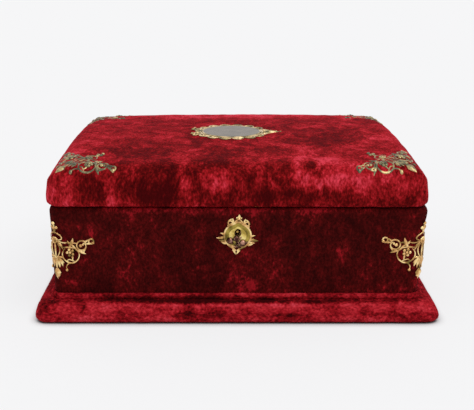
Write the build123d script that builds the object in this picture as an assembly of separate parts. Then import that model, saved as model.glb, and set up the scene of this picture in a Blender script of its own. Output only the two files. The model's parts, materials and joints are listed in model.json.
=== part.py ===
from build123d import *
import os
from math import cos, hypot, radians, sin, tan

# A keepsake box covered in plush, with a hinged crowned lid, pierced gilt corner mounts,
# an oval plaque, a keyhole plate and a box lock.
# Millimetres, +Z up, front at -Y. Origin: middle of the footprint, on the surface it stands on.

# Plush cloth
PLUSH = 2.0                 # cloth and pile on the outer faces
PLUSH_PRESSED = 1.2         # cloth where it is turned over an edge and pressed flat

# Body
BODY_LENGTH = 281.0
BODY_DEPTH = 212.0
BODY_CORNER = 8.0
RIM_HEIGHT = 88.1           # top of the plush on the rim
WALL = 10.0
TONGUE = 4.0                # wood left outside the end of a side board at each corner
WALL_PLANED = 3.5           # bevel of the wood inside a rounded corner
LINING = 3.0
LINING_DROP = 0.5           # lining below the rim
FLOOR_PAD = 5.0
PAD_GAP = 0.2

# Plinth
LEDGE = 12.0                # plinth beyond the body, all round
PLINTH_HEIGHT = 16.0
PLINTH_CORNER = 9.0
PLINTH_EDGE = 5.0
BASE_PLANED = 6.0
BOTTOM_TURN = 18.0          # cloth turned under the base
PAPER = 0.6

# Bead round the foot of the body
BEAD_PROUD = 3.5
BEAD_HEIGHT = 3.7
BEAD_ROUND = 1.6

# Lid
LID_PROUD = 1.5             # lid beyond the body, all round
LID_RISE = 35.1             # underside to the top of the crown
LID_SHOULDER = 13.0         # rounding along the front and back of the top
LID_END = 17.0              # rounding along the ends of the top
LID_CORNER = 13.0           # rounding in plan
LIP = 2.2
CROWN = 3.5                 # rise of the top from its front and back edges to its middle
SEAM_GAP = 0.8
RAIL = 10.0
RAIL_PLANED = 7.0
RAIL_HEIGHT = 16.9
BOARD = 8.0
BOARD_INSET = 3.0
BOARD_EDGE = 4.0
WADDING_EDGE = 8.0          # bevel of the wadding under the shoulders
WADDING_END = 12.0          # and under the rounded ends
LID_PAD = 13.6
LID_PAD_GAP = 0.5
LID_PAD_EDGE = 3.5

# Corner mounts
MOUNT_LENGTH = 49.0         # from the bead to the point
MOUNT_THICKNESS = 1.2
MOUNT_DROP = 32.1           # middle of a body mount below the rim
MOUNT_SETBACK = 34.5        # middle of a lid mount from the lid's corner, along the diagonal
MOUNT_NOSE = 11.0           # end of a lid mount that is bent down over the shoulder
NOSE_BEND = 11.0            # degrees
PRONG = 1.0
PRONG_LENGTH = 10.0
PRONG_OUT = 11.7            # a prong from the mount's own axis
PRONG_DOWN = 2.8
RING_SIDES = 8              # rings are drawn with flats, to keep the mounts light
BEAD_SIDES = 6
HOLE_SIDES = 4
OVAL_SIDES = 24

# Keyhole plate
PLATE_LENGTH = 31.6         # from the finial to the foot
PLATE_THICKNESS = 1.2
PLATE_TILT = -4.5
KEY_DROP = 19.1             # middle of the keyhole below the rim
KEYHOLE_HEAD = 2.7
KEYHOLE_SLOT = 3.6          # width of the slot at its foot
KEYHOLE_DROP = 3.4
KEYHOLE_RISE = 1.7          # keyhole above the middle of the plate
KEYHOLE_SIDES = 8
PLATE_PRONG = 4.2
PLATE_PRONG_OUT = 11.6
PLATE_PRONG_DOWN = 3.4
NICHE_WIDTH = 21.8
NICHE_HEIGHT = 19.2
NICHE_RIM = 1.7
RIM_RELIEF = 1.0
SPRAY_RELIEF = 1.5
SPRAY = ((-5.0, -5.0, 2.6), (-0.4, -3.6, 2.1), (4.6, -5.4, 2.6))    # place and radius of its rosettes

# Plaque on the lid
PLAQUE_X = -4.0
PLAQUE_LENGTH = 48.0
PLAQUE_WIDTH = 45.0
PLAQUE_THICKNESS = 1.2
FRAME_BAND = 5.5
FRAME_LIP = 1.6
LIP_RELIEF = 0.8
LOBES = 14
LOBE_RADIUS = 3.9
LOBE_SIDES = 6

# Hinges
HINGE_INSET = 55.5          # middle of a hinge from the end of the body
HINGE_LENGTH = 32.0
HINGE_KNUCKLE = 10.6        # middle knuckle
KNUCKLE_GAP = 0.3
BARREL_RADIUS = 2.2
LEAF = 1.3
LEAF_DEPTH = 7.0            # leaf over the wood
BARREL_CLEAR = 0.3
PIN_RADIUS = 0.9
PIN_RUNNING = 0.06
HEEL_REACH = 2.2            # stop heel outside the clearance round the barrel
LID_OPENS = 98.0
HEEL_PLAY = 1.0             # degrees each stop heel stays behind the lid's last position
HEEL_END = 90.0

# Lock
LOCK_LENGTH = 49.0
LOCK_BELOW_KEY = 8.5
LOCK_SKIN = 2.6             # wood left in front of the lock
LOCK_THICKNESS = 0.8
LOCK_SIDE = 1.0
LOCK_CLEAR = 0.4
CAP_SINK = 0.2
SELVAGE_THICKNESS = 1.1
SELVAGE_OVERHANG = 6.5
SELVAGE_SETBACK = 2.5       # selvage and strike plate behind the wood's outer face
DRILL_PIN = 0.8
LOOP_X = 14.0
LOOP_WIDTH = 2.2
LOOP_EYE = 2.6
LOOP_SIDE = 0.9
LOOP_DROP = 11.3
LOOP_FOOT = 1.4
SLOT_CLEAR = 0.6
BOLT_THICKNESS = 1.8
BOLT_TRAVEL = 4.2
BOLT_FINGER = 2.7
FINGER_SHORT = 0.8          # finger's end from the loop while unlocked
BOLT_POST = 2.5
BOLT_SPINE = 4.0
SPINE_ABOVE_KEY = 3.5
STUD_RADIUS = 0.9
STUD_CLEAR = 0.3
STUD_LEFT = -9.0
STUD_RIGHT = 11.0
TALON_WIDTH = 5.0           # notch in the bolt for the key
TALON_HEIGHT = 1.6
SPRING_THICKNESS = 0.4
SPRING_SPAN = 15.0

# Sizes, heights and places that follow
PLINTH_LENGTH = BODY_LENGTH + 2 * LEDGE
PLINTH_DEPTH = BODY_DEPTH + 2 * LEDGE
LID_LENGTH = BODY_LENGTH + 2 * LID_PROUD
LID_DEPTH = BODY_DEPTH + 2 * LID_PROUD
BOARD_TOP = PLINTH_HEIGHT - PLUSH
WOOD_RIM = RIM_HEIGHT - PLUSH_PRESSED
LID_BOTTOM = RIM_HEIGHT + SEAM_GAP
RAIL_BOTTOM = LID_BOTTOM + PLUSH_PRESSED
RAIL_TOP = RAIL_BOTTOM + RAIL_HEIGHT
LID_TOP = LID_BOTTOM + LID_RISE
MOUNT_HEIGHT = RIM_HEIGHT - MOUNT_DROP
KEY_HEIGHT = RIM_HEIGHT - KEY_DROP
HINGE_X = BODY_LENGTH / 2 - HINGE_INSET
WOOD_LENGTH = BODY_LENGTH - 2 * PLUSH
WOOD_DEPTH = BODY_DEPTH - 2 * PLUSH
INSIDE_LENGTH = WOOD_LENGTH - 2 * WALL
INSIDE_DEPTH = WOOD_DEPTH - 2 * WALL
RAIL_LENGTH = LID_LENGTH - 2 * PLUSH
RAIL_DEPTH = LID_DEPTH - 2 * PLUSH
LID_INSIDE_LENGTH = RAIL_LENGTH - 2 * RAIL
LID_INSIDE_DEPTH = RAIL_DEPTH - 2 * RAIL
CROWN_RADIUS = ((LID_DEPTH / 2) ** 2 + CROWN ** 2) / (2 * CROWN)
HINGE_Z = (WOOD_RIM + RAIL_BOTTOM) / 2
HINGE_Y = LID_DEPTH / 2 + BARREL_CLEAR + BARREL_RADIUS
LOCK_FRONT = -WOOD_DEPTH / 2 + LOCK_SKIN
LOCK_BACK = -INSIDE_DEPTH / 2 - CAP_SINK
LOCK_BOTTOM = KEY_HEIGHT - LOCK_BELOW_KEY
LOOP_Y = (LOCK_FRONT + LOCK_BACK) / 2
LOOP_BOTTOM = LID_BOTTOM - LOOP_DROP
SPINE_BOTTOM = KEY_HEIGHT + SPINE_ABOVE_KEY
FAR = 500.0                 # longer than anything in the box

os.makedirs("parts", exist_ok=True)


def write(name, shape):
    export_step(shape, "parts/" + name + ".step")


def span(x0, x1, y0, y1, z0, z1):
    """A plain box between two corners."""
    corner = Box(x1 - x0, y1 - y0, z1 - z0, align=(Align.MIN, Align.MIN, Align.MIN))
    return Pos(x0, y0, z0) * corner


def block(length, depth, bottom, top, corner):
    """An upright block about the Z axis with rounded corners in plan."""
    return Pos(0, 0, bottom) * extrude(RectangleRounded(length, depth, corner), top - bottom)


def planed(length, depth, bottom, top, bevel):
    """An upright block about the Z axis with its four corners planed off."""
    outline = chamfer(Rectangle(length, depth).vertices(), bevel)
    return Pos(0, 0, bottom) * extrude(outline, top - bottom)


def group(solids):
    return Compound(children=[solid for piece in solids for solid in piece.solids()])


def cut(solid, tools):
    for tool in tools:
        solid -= tool
    return solid


def shouldered(width, bottom, top, edge):
    """An upright section with its two upper corners rounded."""
    section = Pos(0, (bottom + top) / 2) * Rectangle(width, top - bottom)
    return fillet(section.vertices().group_by(Axis.Y)[-1], edge)


def within(from_the_side, from_the_front, plan):
    """The form that has one section from the side, one from the front and a block's outline in plan."""
    form = extrude(Plane.YZ * from_the_side, FAR, both=True)
    form &= extrude(Plane.XZ * from_the_front, FAR, both=True)
    return form & plan


def frame_boards(ring, length, depth, wall):
    """Cuts a ring of wood into front, back, left and right boards with rabbeted corners."""
    inside_x, outside_y = length / 2 - wall, depth / 2
    tongues = span(-FAR, FAR, -outside_y, -outside_y + TONGUE, 0, FAR)
    front = ring & (tongues + span(-inside_x, inside_x, -outside_y, -outside_y + wall, 0, FAR))
    back = mirror(front, Plane.XZ)
    sides = ring - front - back
    return front, back, sides & span(-FAR, 0, -FAR, FAR, 0, FAR), sides & span(0, FAR, -FAR, FAR, 0, FAR)


# Scrollwork, drawn flat

def plate(*corners):
    return make_face(Polyline(*corners, close=True))


def leaf(start, end, left, right, at=0.5):
    """A pointed leaf from start to end, with its bellies to the left and right of the way between."""
    along_x, along_y = end[0] - start[0], end[1] - start[1]
    length = hypot(along_x, along_y)
    middle_x, middle_y = start[0] + along_x * at, start[1] + along_y * at
    bellies = [(middle_x - along_y / length * bow, middle_y + along_x / length * bow)
               for bow in (left, -right)]
    return plate(start, bellies[0], end, bellies[1])


def disc(x, y, radius, sides):
    return Pos(x, y) * RegularPolygon(radius, sides)


def oval(length, width, grow=0.0):
    """An oval of a length and width, grown all round by grow."""
    turns = [radians(360 * side / OVAL_SIDES) for side in range(OVAL_SIDES)]
    return plate(*[((length / 2 + grow) * cos(turn), (width / 2 + grow) * sin(turn)) for turn in turns])


def join(shapes):
    whole = shapes[0]
    for shape in shapes[1:]:
        whole += shape
    return whole


def corner_scroll():
    """One pierced corner mount, drawn flat: bead end up, point down, mirrored about its axis."""
    wing = join([
        disc(28.9, 6.8, 2.7, BEAD_SIDES),                   # loop at the tip
        leaf((23.4, 5.6), (28.6, 5.2), 0.9, 0.9),           # leaf under the loop
        disc(21.1, 3.2, 4.5, RING_SIDES),                   # small scroll ring
        leaf((25.2, -3.4), (14.6, 1.4), 0.9, 0.9, 0.3),     # tail of the S-scroll between the rings
        leaf((18.4, 3.0), (-0.4, 6.0), 0.6, 1.6, 0.45),     # stem from the ring to the middle rosette
        leaf((11.6, 4.6), (14.8, 9.2), 1.0, 1.2),           # leaf of the fleur
        disc(12.3, -5.1, 6.6, RING_SIDES),                  # large scroll ring
        leaf((8.6, -7.2), (-0.6, -7.6), 1.2, 1.2),          # leaf that ties the ring to the axis
        leaf((12.6, -10.6), (7.6, -17.4), 0.6, 2.6, 0.6),   # hook below the ring
        leaf((5.4, 5.2), (-0.4, 14.6), 0.2, 1.6, 0.6),      # arch over the rosette
    ])
    wing -= disc(29.0, 6.9, 1.4, HOLE_SIDES)
    wing -= disc(21.1, 3.2, 3.0, BEAD_SIDES)
    wing -= disc(12.3, -5.1, 5.2, BEAD_SIDES)
    wing += leaf((10.6, 0.6), (14.4, -6.6), 2.2, 2.2, 0.4)  # leaf in the large ring
    axis = join([
        disc(0.0, 6.8, 3.0, BEAD_SIDES),
        leaf((0.0, 8.0), (0.0, -17.6), 2.6, 2.6, 0.7),
        plate((0.0, -16.0), (3.1, -20.2), (0.0, -24.5), (-3.1, -20.2)),
        plate((0.0, 12.0), (3.6, 19.4), (1.0, 21.8), (-1.0, 21.8), (-3.6, 19.4)),
        disc(0.0, 22.7, 1.8, BEAD_SIDES),
    ])
    return axis + wing + mirror(wing, Plane.YZ)


def drawn_to(length, drawing):
    """Brings a drawing to its real length, which runs along Y."""
    return scale(drawing, by=length / drawing.bounding_box().size.Y)


SCROLL = drawn_to(MOUNT_LENGTH, corner_scroll())


def prong(x, y, length=PRONG_LENGTH):
    """A square spike on the back of a mount, under z = 0."""
    return Pos(x, y, -length / 2) * Box(PRONG, PRONG, length)


def lid_mount():
    """The mount as the lid has it: flat, with its point bent down over the shoulder."""
    fold = MOUNT_NOSE - MOUNT_LENGTH / 2
    flat = SCROLL & Pos(0, fold + FAR / 2) * Rectangle(FAR, FAR)
    nose = Pos(0, -fold, -MOUNT_THICKNESS) * extrude(SCROLL - flat, MOUNT_THICKNESS)
    mount = extrude(flat, MOUNT_THICKNESS) + Pos(0, fold, MOUNT_THICKNESS) * Rot(NOSE_BEND, 0, 0) * nose
    for side in (-1, 1):
        mount += prong(side * PRONG_OUT, -PRONG_DOWN)
    return mount


def folded_mount():
    """The same mount bent round an upright body corner, its axis on the origin's Z axis.

    The corner's centre of curvature is on the axis; one wing faces -Y, the other +X. The metal
    is bent twice, so that its middle is a flat across the corner."""
    bend = BODY_CORNER * tan(radians(22.5))
    lap = MOUNT_THICKNESS * tan(radians(22.5))
    wing = SCROLL & Pos(bend - lap + FAR / 2, 0) * Rectangle(FAR, FAR)
    wing = extrude(wing, MOUNT_THICKNESS) + prong(PRONG_OUT, -PRONG_DOWN)
    side = Plane(origin=(BODY_CORNER, -2 * bend, 0), x_dir=(0, 1, 0), z_dir=(1, 0, 0)) * wing
    middle = extrude(SCROLL & Rectangle(2 * (bend + lap), FAR), MOUNT_THICKNESS)
    across = BODY_CORNER * sin(radians(45))
    middle = Plane(origin=(across, -across, 0), x_dir=(1, 1, 0), z_dir=(1, -1, 0)) * middle
    start, end = radians(-67.5), radians(-22.5)
    wedge = plate((0, 0), (FAR * cos(start), FAR * sin(start)), (FAR * cos(end), FAR * sin(end)))
    wedge = Pos(0, 0, -FAR / 2) * extrude(wedge, FAR)
    side -= wedge
    front = mirror(side, Plane(origin=(0, 0, 0), z_dir=(1, 1, 0)))
    mount = (middle & wedge) + side + front
    return mount.solids().sort_by(SortBy.VOLUME)[-1]


# Plinth

def base_board():
    length, depth = PLINTH_LENGTH - 2 * PLUSH, PLINTH_DEPTH - 2 * PLUSH
    return planed(length, depth, PLUSH_PRESSED, BOARD_TOP, BASE_PLANED)


def under_base(bottom, top):
    """The space inside the cloth that is turned under the base."""
    reach_x, reach_y = PLINTH_LENGTH / 2 - BOTTOM_TURN, PLINTH_DEPTH / 2 - BOTTOM_TURN
    return span(-reach_x, reach_x, -reach_y, reach_y, bottom, top)


def plinth_plush(board):
    cover = within(shouldered(PLINTH_DEPTH, 0, PLINTH_HEIGHT, PLINTH_EDGE),
                   shouldered(PLINTH_LENGTH, 0, PLINTH_HEIGHT, PLINTH_EDGE),
                   block(PLINTH_LENGTH, PLINTH_DEPTH, 0, PLINTH_HEIGHT, PLINTH_CORNER))
    body_foot = block(BODY_LENGTH, BODY_DEPTH, BOARD_TOP, FAR, BODY_CORNER)
    return cover - board - body_foot - under_base(-PLUSH, BOARD_TOP)


def bottom_paper():
    return under_base(PLUSH_PRESSED - PAPER, PLUSH_PRESSED)


def foot_beads():
    """The covered bead round the foot of the body, mitred at the corners."""
    length, depth = BODY_LENGTH + 2 * BEAD_PROUD, BODY_DEPTH + 2 * BEAD_PROUD
    bead = block(length, depth, PLINTH_HEIGHT, PLINTH_HEIGHT + BEAD_HEIGHT, BODY_CORNER + BEAD_PROUD)
    bead = chamfer(bead.faces().sort_by(Axis.Z)[-1].edges(), BEAD_ROUND)
    bead -= block(BODY_LENGTH, BODY_DEPTH, 0, FAR, BODY_CORNER)
    corner_x, corner_y = BODY_LENGTH / 2 - BODY_CORNER, BODY_DEPTH / 2 - BODY_CORNER
    fan = plate((-corner_x, -corner_y), (corner_x, -corner_y),
                (corner_x + FAR, -corner_y - FAR), (-corner_x - FAR, -corner_y - FAR))
    front = bead & extrude(fan, FAR)
    back = mirror(front, Plane.XZ)
    ends = bead - front - back
    return front, back, ends & span(-FAR, 0, -FAR, FAR, 0, FAR), ends & span(0, FAR, -FAR, FAR, 0, FAR)


# Body

def body_boards():
    ring = planed(WOOD_LENGTH, WOOD_DEPTH, BOARD_TOP, WOOD_RIM, WALL_PLANED)
    ring -= span(-INSIDE_LENGTH / 2, INSIDE_LENGTH / 2, -INSIDE_DEPTH / 2, INSIDE_DEPTH / 2, 0, FAR)
    return frame_boards(ring, WOOD_LENGTH, WOOD_DEPTH, WALL)


def body_plush():
    cover = block(BODY_LENGTH, BODY_DEPTH, BOARD_TOP, RIM_HEIGHT, BODY_CORNER)
    cover -= planed(WOOD_LENGTH, WOOD_DEPTH, 0, WOOD_RIM, WALL_PLANED)
    cover -= span(-INSIDE_LENGTH / 2, INSIDE_LENGTH / 2, -INSIDE_DEPTH / 2, INSIDE_DEPTH / 2, 0, FAR)
    return cover


def linings():
    """Satin over card on the four walls; the end pieces fit between the long ones."""
    top = WOOD_RIM + PLUSH_PRESSED - LINING_DROP
    half_x, half_y = INSIDE_LENGTH / 2, INSIDE_DEPTH / 2
    front = span(-half_x, half_x, -half_y, -half_y + LINING, BOARD_TOP, top)
    left = span(-half_x, -half_x + LINING, -half_y + LINING, half_y - LINING, BOARD_TOP, top)
    front = fillet(front.faces().sort_by(Axis.Z)[-1].edges().sort_by(Axis.Y)[-1], LINING / 2)
    left = fillet(left.faces().sort_by(Axis.Z)[-1].edges().sort_by(Axis.X)[-1], LINING / 2)
    return front, mirror(front, Plane.XZ), left, mirror(left, Plane.YZ)


def floor_pad():
    length = INSIDE_LENGTH - 2 * (LINING + PAD_GAP)
    depth = INSIDE_DEPTH - 2 * (LINING + PAD_GAP)
    pad = Pos(0, 0, BOARD_TOP + FLOOR_PAD / 2) * Box(length, depth, FLOOR_PAD)
    return chamfer(pad.faces().sort_by(Axis.Z)[-1].edges(), FLOOR_PAD / 3)


# Lid

def crown_profile(inset, bottom):
    """The lid's section from front to back, drawn in by inset, with an arched top."""
    side, edge, top = LID_DEPTH / 2 - inset, LID_TOP - CROWN - inset, LID_TOP - inset
    return make_face([
        Line((-side, edge), (-side, bottom)),
        Line((-side, bottom), (side, bottom)),
        Line((side, bottom), (side, edge)),
        ThreePointArc((side, edge), (0, top), (-side, edge)),
    ])


def pillow():
    """The plush outside of the lid: arched from front to back, rounded at its edges and corners."""
    section = crown_profile(0, LID_BOTTOM)
    section = fillet(section.vertices().group_by(Axis.Y)[-1], LID_SHOULDER)
    form = within(section, shouldered(LID_LENGTH, LID_BOTTOM, LID_TOP, LID_END),
                  block(LID_LENGTH, LID_DEPTH, LID_BOTTOM, LID_TOP, LID_CORNER))
    return chamfer(form.faces().sort_by(Axis.Z)[0].edges(), LIP)


def lid_opening():
    return span(-LID_INSIDE_LENGTH / 2, LID_INSIDE_LENGTH / 2,
                -LID_INSIDE_DEPTH / 2, LID_INSIDE_DEPTH / 2, 0, RAIL_TOP)


def lid_ring():
    """The space of the four rails, before they are shaped to the lid's form."""
    return span(-FAR, FAR, -FAR, FAR, RAIL_BOTTOM, RAIL_TOP) - lid_opening()


def lid_form():
    """Wood and wadding together, under the plush: arched, with bevelled shoulders and ends."""
    section = crown_profile(PLUSH, RAIL_BOTTOM)
    section = chamfer(section.vertices().group_by(Axis.Y)[-1], WADDING_EDGE)
    side, top = RAIL_LENGTH / 2, LID_TOP - PLUSH
    outline = plate((-side, 0), (side, 0), (side, top - WADDING_END), (side - WADDING_END, top),
                    (WADDING_END - side, top), (-side, top - WADDING_END))
    return within(section, outline, planed(RAIL_LENGTH, RAIL_DEPTH, 0, FAR, RAIL_PLANED))


def lid_plush(form):
    return pillow() - form - lid_opening()


def lid_board():
    length, depth = RAIL_LENGTH - 2 * BOARD_INSET, RAIL_DEPTH - 2 * BOARD_INSET
    board = planed(length, depth, RAIL_TOP, RAIL_TOP + BOARD, RAIL_PLANED - BOARD_INSET)
    return chamfer(board.faces().sort_by(Axis.Z)[-1].edges(), BOARD_EDGE)


def lid_lining_pad():
    length, depth = LID_INSIDE_LENGTH - 2 * LID_PAD_GAP, LID_INSIDE_DEPTH - 2 * LID_PAD_GAP
    pad = Pos(0, 0, RAIL_TOP - LID_PAD / 2) * Box(length, depth, LID_PAD)
    return chamfer(pad.faces().sort_by(Axis.Z)[0].edges(), LID_PAD_EDGE)


def on_crown(x, y):
    """The plane that lies on the crown over a point, its x axis along +X."""
    height = (CROWN_RADIUS ** 2 - y ** 2) ** 0.5
    return Plane(origin=(x, y, LID_TOP - CROWN_RADIUS + height), x_dir=(1, 0, 0), z_dir=(0, y, height))


# Ornament

def body_mounts():
    corner_x, corner_y = BODY_LENGTH / 2 - BODY_CORNER, BODY_DEPTH / 2 - BODY_CORNER
    right = Pos(corner_x, -corner_y, MOUNT_HEIGHT) * folded_mount()
    front = [mirror(right, Plane.YZ), right]
    back = [mirror(mount, Plane.XZ) for mount in front]
    return group(front), group(back)


def lid_mounts():
    """Each mount points at its corner, with its axis on the diagonal of the corner."""
    reach = MOUNT_SETBACK * sin(radians(45))
    x, y = LID_LENGTH / 2 - reach, LID_DEPTH / 2 - reach
    right = on_crown(x, -y) * Rot(0, 0, 45) * lid_mount()
    front = [mirror(right, Plane.YZ), right]
    back = [mirror(mount, Plane.XZ) for mount in front]
    return group(front), group(back)


def escutcheon():
    """The keyhole plate: a pear-shaped niche in a pierced border, a spray of rosettes below."""
    border = plate((-7.4, 6.6), (-1.5, 11.4), (-2.6, 11.9), (0.0, 16.0), (2.6, 11.9), (1.5, 11.4),
                   (7.4, 6.6), (9.2, -7.2), (3.0, -11.2), (0.0, -15.6), (-3.0, -11.2), (-9.2, -7.2))
    for side in (-1, 1):
        border += disc(side * 6.7, 8.4, 2.4, RING_SIDES)
        border += plate((side * 5.6, 8.6), (side * 4.6, 12.8), (side * 3.0, 8.8))
        border += plate((side * 9.5, -0.6), (side * 12.2, 0.8), (side * 12.6, -2.0),
                        (side * 15.6, -3.7), (side * 12.2, -6.2), (side * 7.6, -8.4))
        border -= disc(side * 6.8, 8.9, 1.0, BEAD_SIDES)
    spray = join([disc(x, y, radius, BEAD_SIDES) for x, y, radius in SPRAY])
    grow = PLATE_LENGTH / border.bounding_box().size.Y
    niche = oval(NICHE_WIDTH, NICHE_HEIGHT)
    plate_body = extrude(scale(border, grow) + niche, PLATE_THICKNESS)
    plate_body += extrude(niche - oval(NICHE_WIDTH, NICHE_HEIGHT, -NICHE_RIM), PLATE_THICKNESS + RIM_RELIEF)
    plate_body += extrude(scale(spray, grow), PLATE_THICKNESS + SPRAY_RELIEF)
    for side in (-1, 1):
        plate_body += prong(side * PLATE_PRONG_OUT, -PLATE_PRONG_DOWN, PLATE_PRONG)
    lay = Plane(origin=(0, -BODY_DEPTH / 2, KEY_HEIGHT - KEYHOLE_RISE), x_dir=(1, 0, 0), z_dir=(0, -1, 0))
    return lay * Rot(0, 0, PLATE_TILT) * plate_body


def keyhole():
    """The passage for the key, from in front of the plate back into the lock."""
    foot = KEYHOLE_SLOT / 2
    slot = plate((-KEYHOLE_HEAD / 2, 0), (-foot, -KEYHOLE_DROP),
                 (foot, -KEYHOLE_DROP), (KEYHOLE_HEAD / 2, 0))
    hole = extrude(disc(0, KEYHOLE_HEAD / 3, KEYHOLE_HEAD, KEYHOLE_SIDES) + slot, FAR)
    return Plane(origin=(0, LOOP_Y, KEY_HEIGHT), x_dir=(1, 0, 0), z_dir=(0, -1, 0)) * hole


def plaque_frame():
    """Gilt border of the plaque: lobes round it, a fork at the left and a finial at the right."""
    unit = FRAME_BAND
    band = oval(PLAQUE_LENGTH, PLAQUE_WIDTH, unit)
    for lobe in range(LOBES):
        turn = radians(360 * (lobe + 0.5) / LOBES)
        band += disc((PLAQUE_LENGTH / 2 + 0.8 * unit) * cos(turn),
                     (PLAQUE_WIDTH / 2 + 0.8 * unit) * sin(turn), LOBE_RADIUS, LOBE_SIDES)
    end = PLAQUE_LENGTH / 2 + unit
    band += leaf((end - unit / 2, 0), (end + 2.7 * unit, 0), 0.7 * unit, 0.7 * unit, 0.25)
    for side in (-1, 1):
        band += leaf((unit / 3 - end, side * 0.4 * unit), (-end - 0.7 * unit, side * 1.5 * unit),
                     unit / 3, unit / 3, 0.6)
        band += leaf((unit / 3 - end, side * 1.1 * unit), (-end - 0.4 * unit, side * 2.4 * unit),
                     unit / 4, unit / 4, 0.6)
        band += leaf((end - unit / 2, side * 1.3 * unit), (end + 1.2 * unit, side * unit), unit / 3, unit / 3)
    seat = oval(PLAQUE_LENGTH, PLAQUE_WIDTH)
    frame = extrude(band - seat, PLAQUE_THICKNESS)
    lip = oval(PLAQUE_LENGTH, PLAQUE_WIDTH, FRAME_LIP) - seat
    frame += extrude(lip, PLAQUE_THICKNESS + LIP_RELIEF)
    for side in (-1, 1):
        frame += prong(side * (end - PRONG), 0)
    return on_crown(PLAQUE_X, 0) * frame


def plaque_plate():
    return on_crown(PLAQUE_X, 0) * extrude(oval(PLAQUE_LENGTH, PLAQUE_WIDTH), PLAQUE_THICKNESS)


# Seats let into the plush for metal at the seam

def leaf_seat(x, bottom, top):
    half = HINGE_LENGTH / 2 + PAD_GAP
    return span(x - half, x + half, WOOD_DEPTH / 2 - LEAF_DEPTH - PAD_GAP, FAR, bottom, top)


def plate_seat(outer, inner, bottom, top):
    """Seat in the front edge for the lock's top plate or the strike plate."""
    half = LOCK_LENGTH / 2 + SELVAGE_OVERHANG + PAD_GAP
    return span(-half, half, -outer - PAD_GAP, -inner + PAD_GAP, bottom, top)


# Hinges

def barrel(start, end, radius):
    """A cylinder along X between two places, about the hinge axis."""
    return Pos((start + end) / 2, HINGE_Y, HINGE_Z) * Rot(0, 90, 0) * Cylinder(radius, end - start)


def sector(radius, start_angle, end_angle):
    """A slice of a disc about the hinge axis, as long as the hinge; angles from +Y towards +Z."""
    start, end = radians(start_angle), radians(end_angle)
    wedge = plate((0, 0), (FAR * cos(start), FAR * sin(start)), (FAR * cos(end), FAR * sin(end)))
    lay = Plane(origin=(-HINGE_LENGTH / 2, HINGE_Y, HINGE_Z), x_dir=(0, 1, 0), z_dir=(1, 0, 0))
    return lay * extrude(Circle(radius) & wedge, HINGE_LENGTH)


def hinge_leaf(upper):
    """One leaf, knuckles and stop heel about x = 0. The upper leaf has the middle knuckle."""
    half, middle = HINGE_LENGTH / 2, HINGE_KNUCKLE / 2
    ends = [(-half, -middle - KNUCKLE_GAP), (middle + KNUCKLE_GAP, half)]
    centre = [(-middle, middle)]
    own, other = (centre, ends) if upper else (ends, centre)
    bottom = RAIL_BOTTOM - LEAF if upper else WOOD_RIM
    clear = BARREL_RADIUS + BARREL_CLEAR
    heel_start = LID_OPENS / 2 + HEEL_PLAY
    angles = (heel_start, HEEL_END) if upper else (-HEEL_END, -heel_start)
    bore = PIN_RADIUS + PIN_RUNNING if upper else PIN_RADIUS
    body = span(-half, half, WOOD_DEPTH / 2 - LEAF_DEPTH, HINGE_Y, bottom, bottom + LEAF)
    for start, end in other:
        body -= span(start - KNUCKLE_GAP, end + KNUCKLE_GAP, HINGE_Y - clear, FAR, 0, FAR)
    knuckles = join([barrel(start, end, BARREL_RADIUS) for start, end in own])
    stop = sector(clear + HEEL_REACH, *angles)
    web = join([stop & span(start, end, -FAR, FAR, 0, FAR) for start, end in own])
    body = body + knuckles + web + (stop - barrel(-half - 1, half + 1, clear))
    return body - barrel(-half - 1, half + 1, bore)


def hinge_pin():
    return barrel(-HINGE_LENGTH / 2, HINGE_LENGTH / 2, PIN_RADIUS)


# Lock

def lock_case():
    """A tray open to the rear under its top plate, which has a slot for each loop of the strike."""
    half = LOCK_LENGTH / 2
    cap_front = LOCK_BACK - LOCK_THICKNESS
    case = span(-half, half, LOCK_FRONT, cap_front, LOCK_BOTTOM, WOOD_RIM)
    case -= span(-half + LOCK_SIDE, half - LOCK_SIDE, LOCK_FRONT + LOCK_THICKNESS, FAR,
                 LOCK_BOTTOM + LOCK_SIDE, FAR)
    case += span(-half - SELVAGE_OVERHANG, half + SELVAGE_OVERHANG,
                 -WOOD_DEPTH / 2 + SELVAGE_SETBACK, -INSIDE_DEPTH / 2, WOOD_RIM, WOOD_RIM + SELVAGE_THICKNESS)
    reach_x = LOOP_WIDTH / 2 + SLOT_CLEAR
    reach_y = LOOP_EYE / 2 + LOOP_SIDE + SLOT_CLEAR
    for x in (-LOOP_X, LOOP_X):
        case -= span(x - reach_x, x + reach_x, LOOP_Y - reach_y, LOOP_Y + reach_y, WOOD_RIM - 1, FAR)
    for x in (STUD_LEFT, STUD_RIGHT):
        stud = Cylinder(STUD_RADIUS, cap_front - LOCK_FRONT, align=(Align.CENTER, Align.CENTER, Align.MAX))
        case += Plane(origin=(x, LOCK_FRONT, SPINE_BOTTOM + BOLT_SPINE / 2), z_dir=(0, -1, 0)) * stud
    return case


def lock_cap():
    """The cover on the back of the lock, with the pin that a barrel key turns on."""
    half = LOCK_LENGTH / 2
    cap = span(-half, half, LOCK_BACK - LOCK_THICKNESS, LOCK_BACK, LOCK_BOTTOM, WOOD_RIM)
    reach = LOCK_BACK + WOOD_DEPTH / 2
    pin = Cylinder(DRILL_PIN, reach, align=(Align.CENTER, Align.CENTER, Align.MIN))
    return cap + Plane(origin=(0, LOCK_BACK, KEY_HEIGHT), z_dir=(0, -1, 0)) * pin


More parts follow.
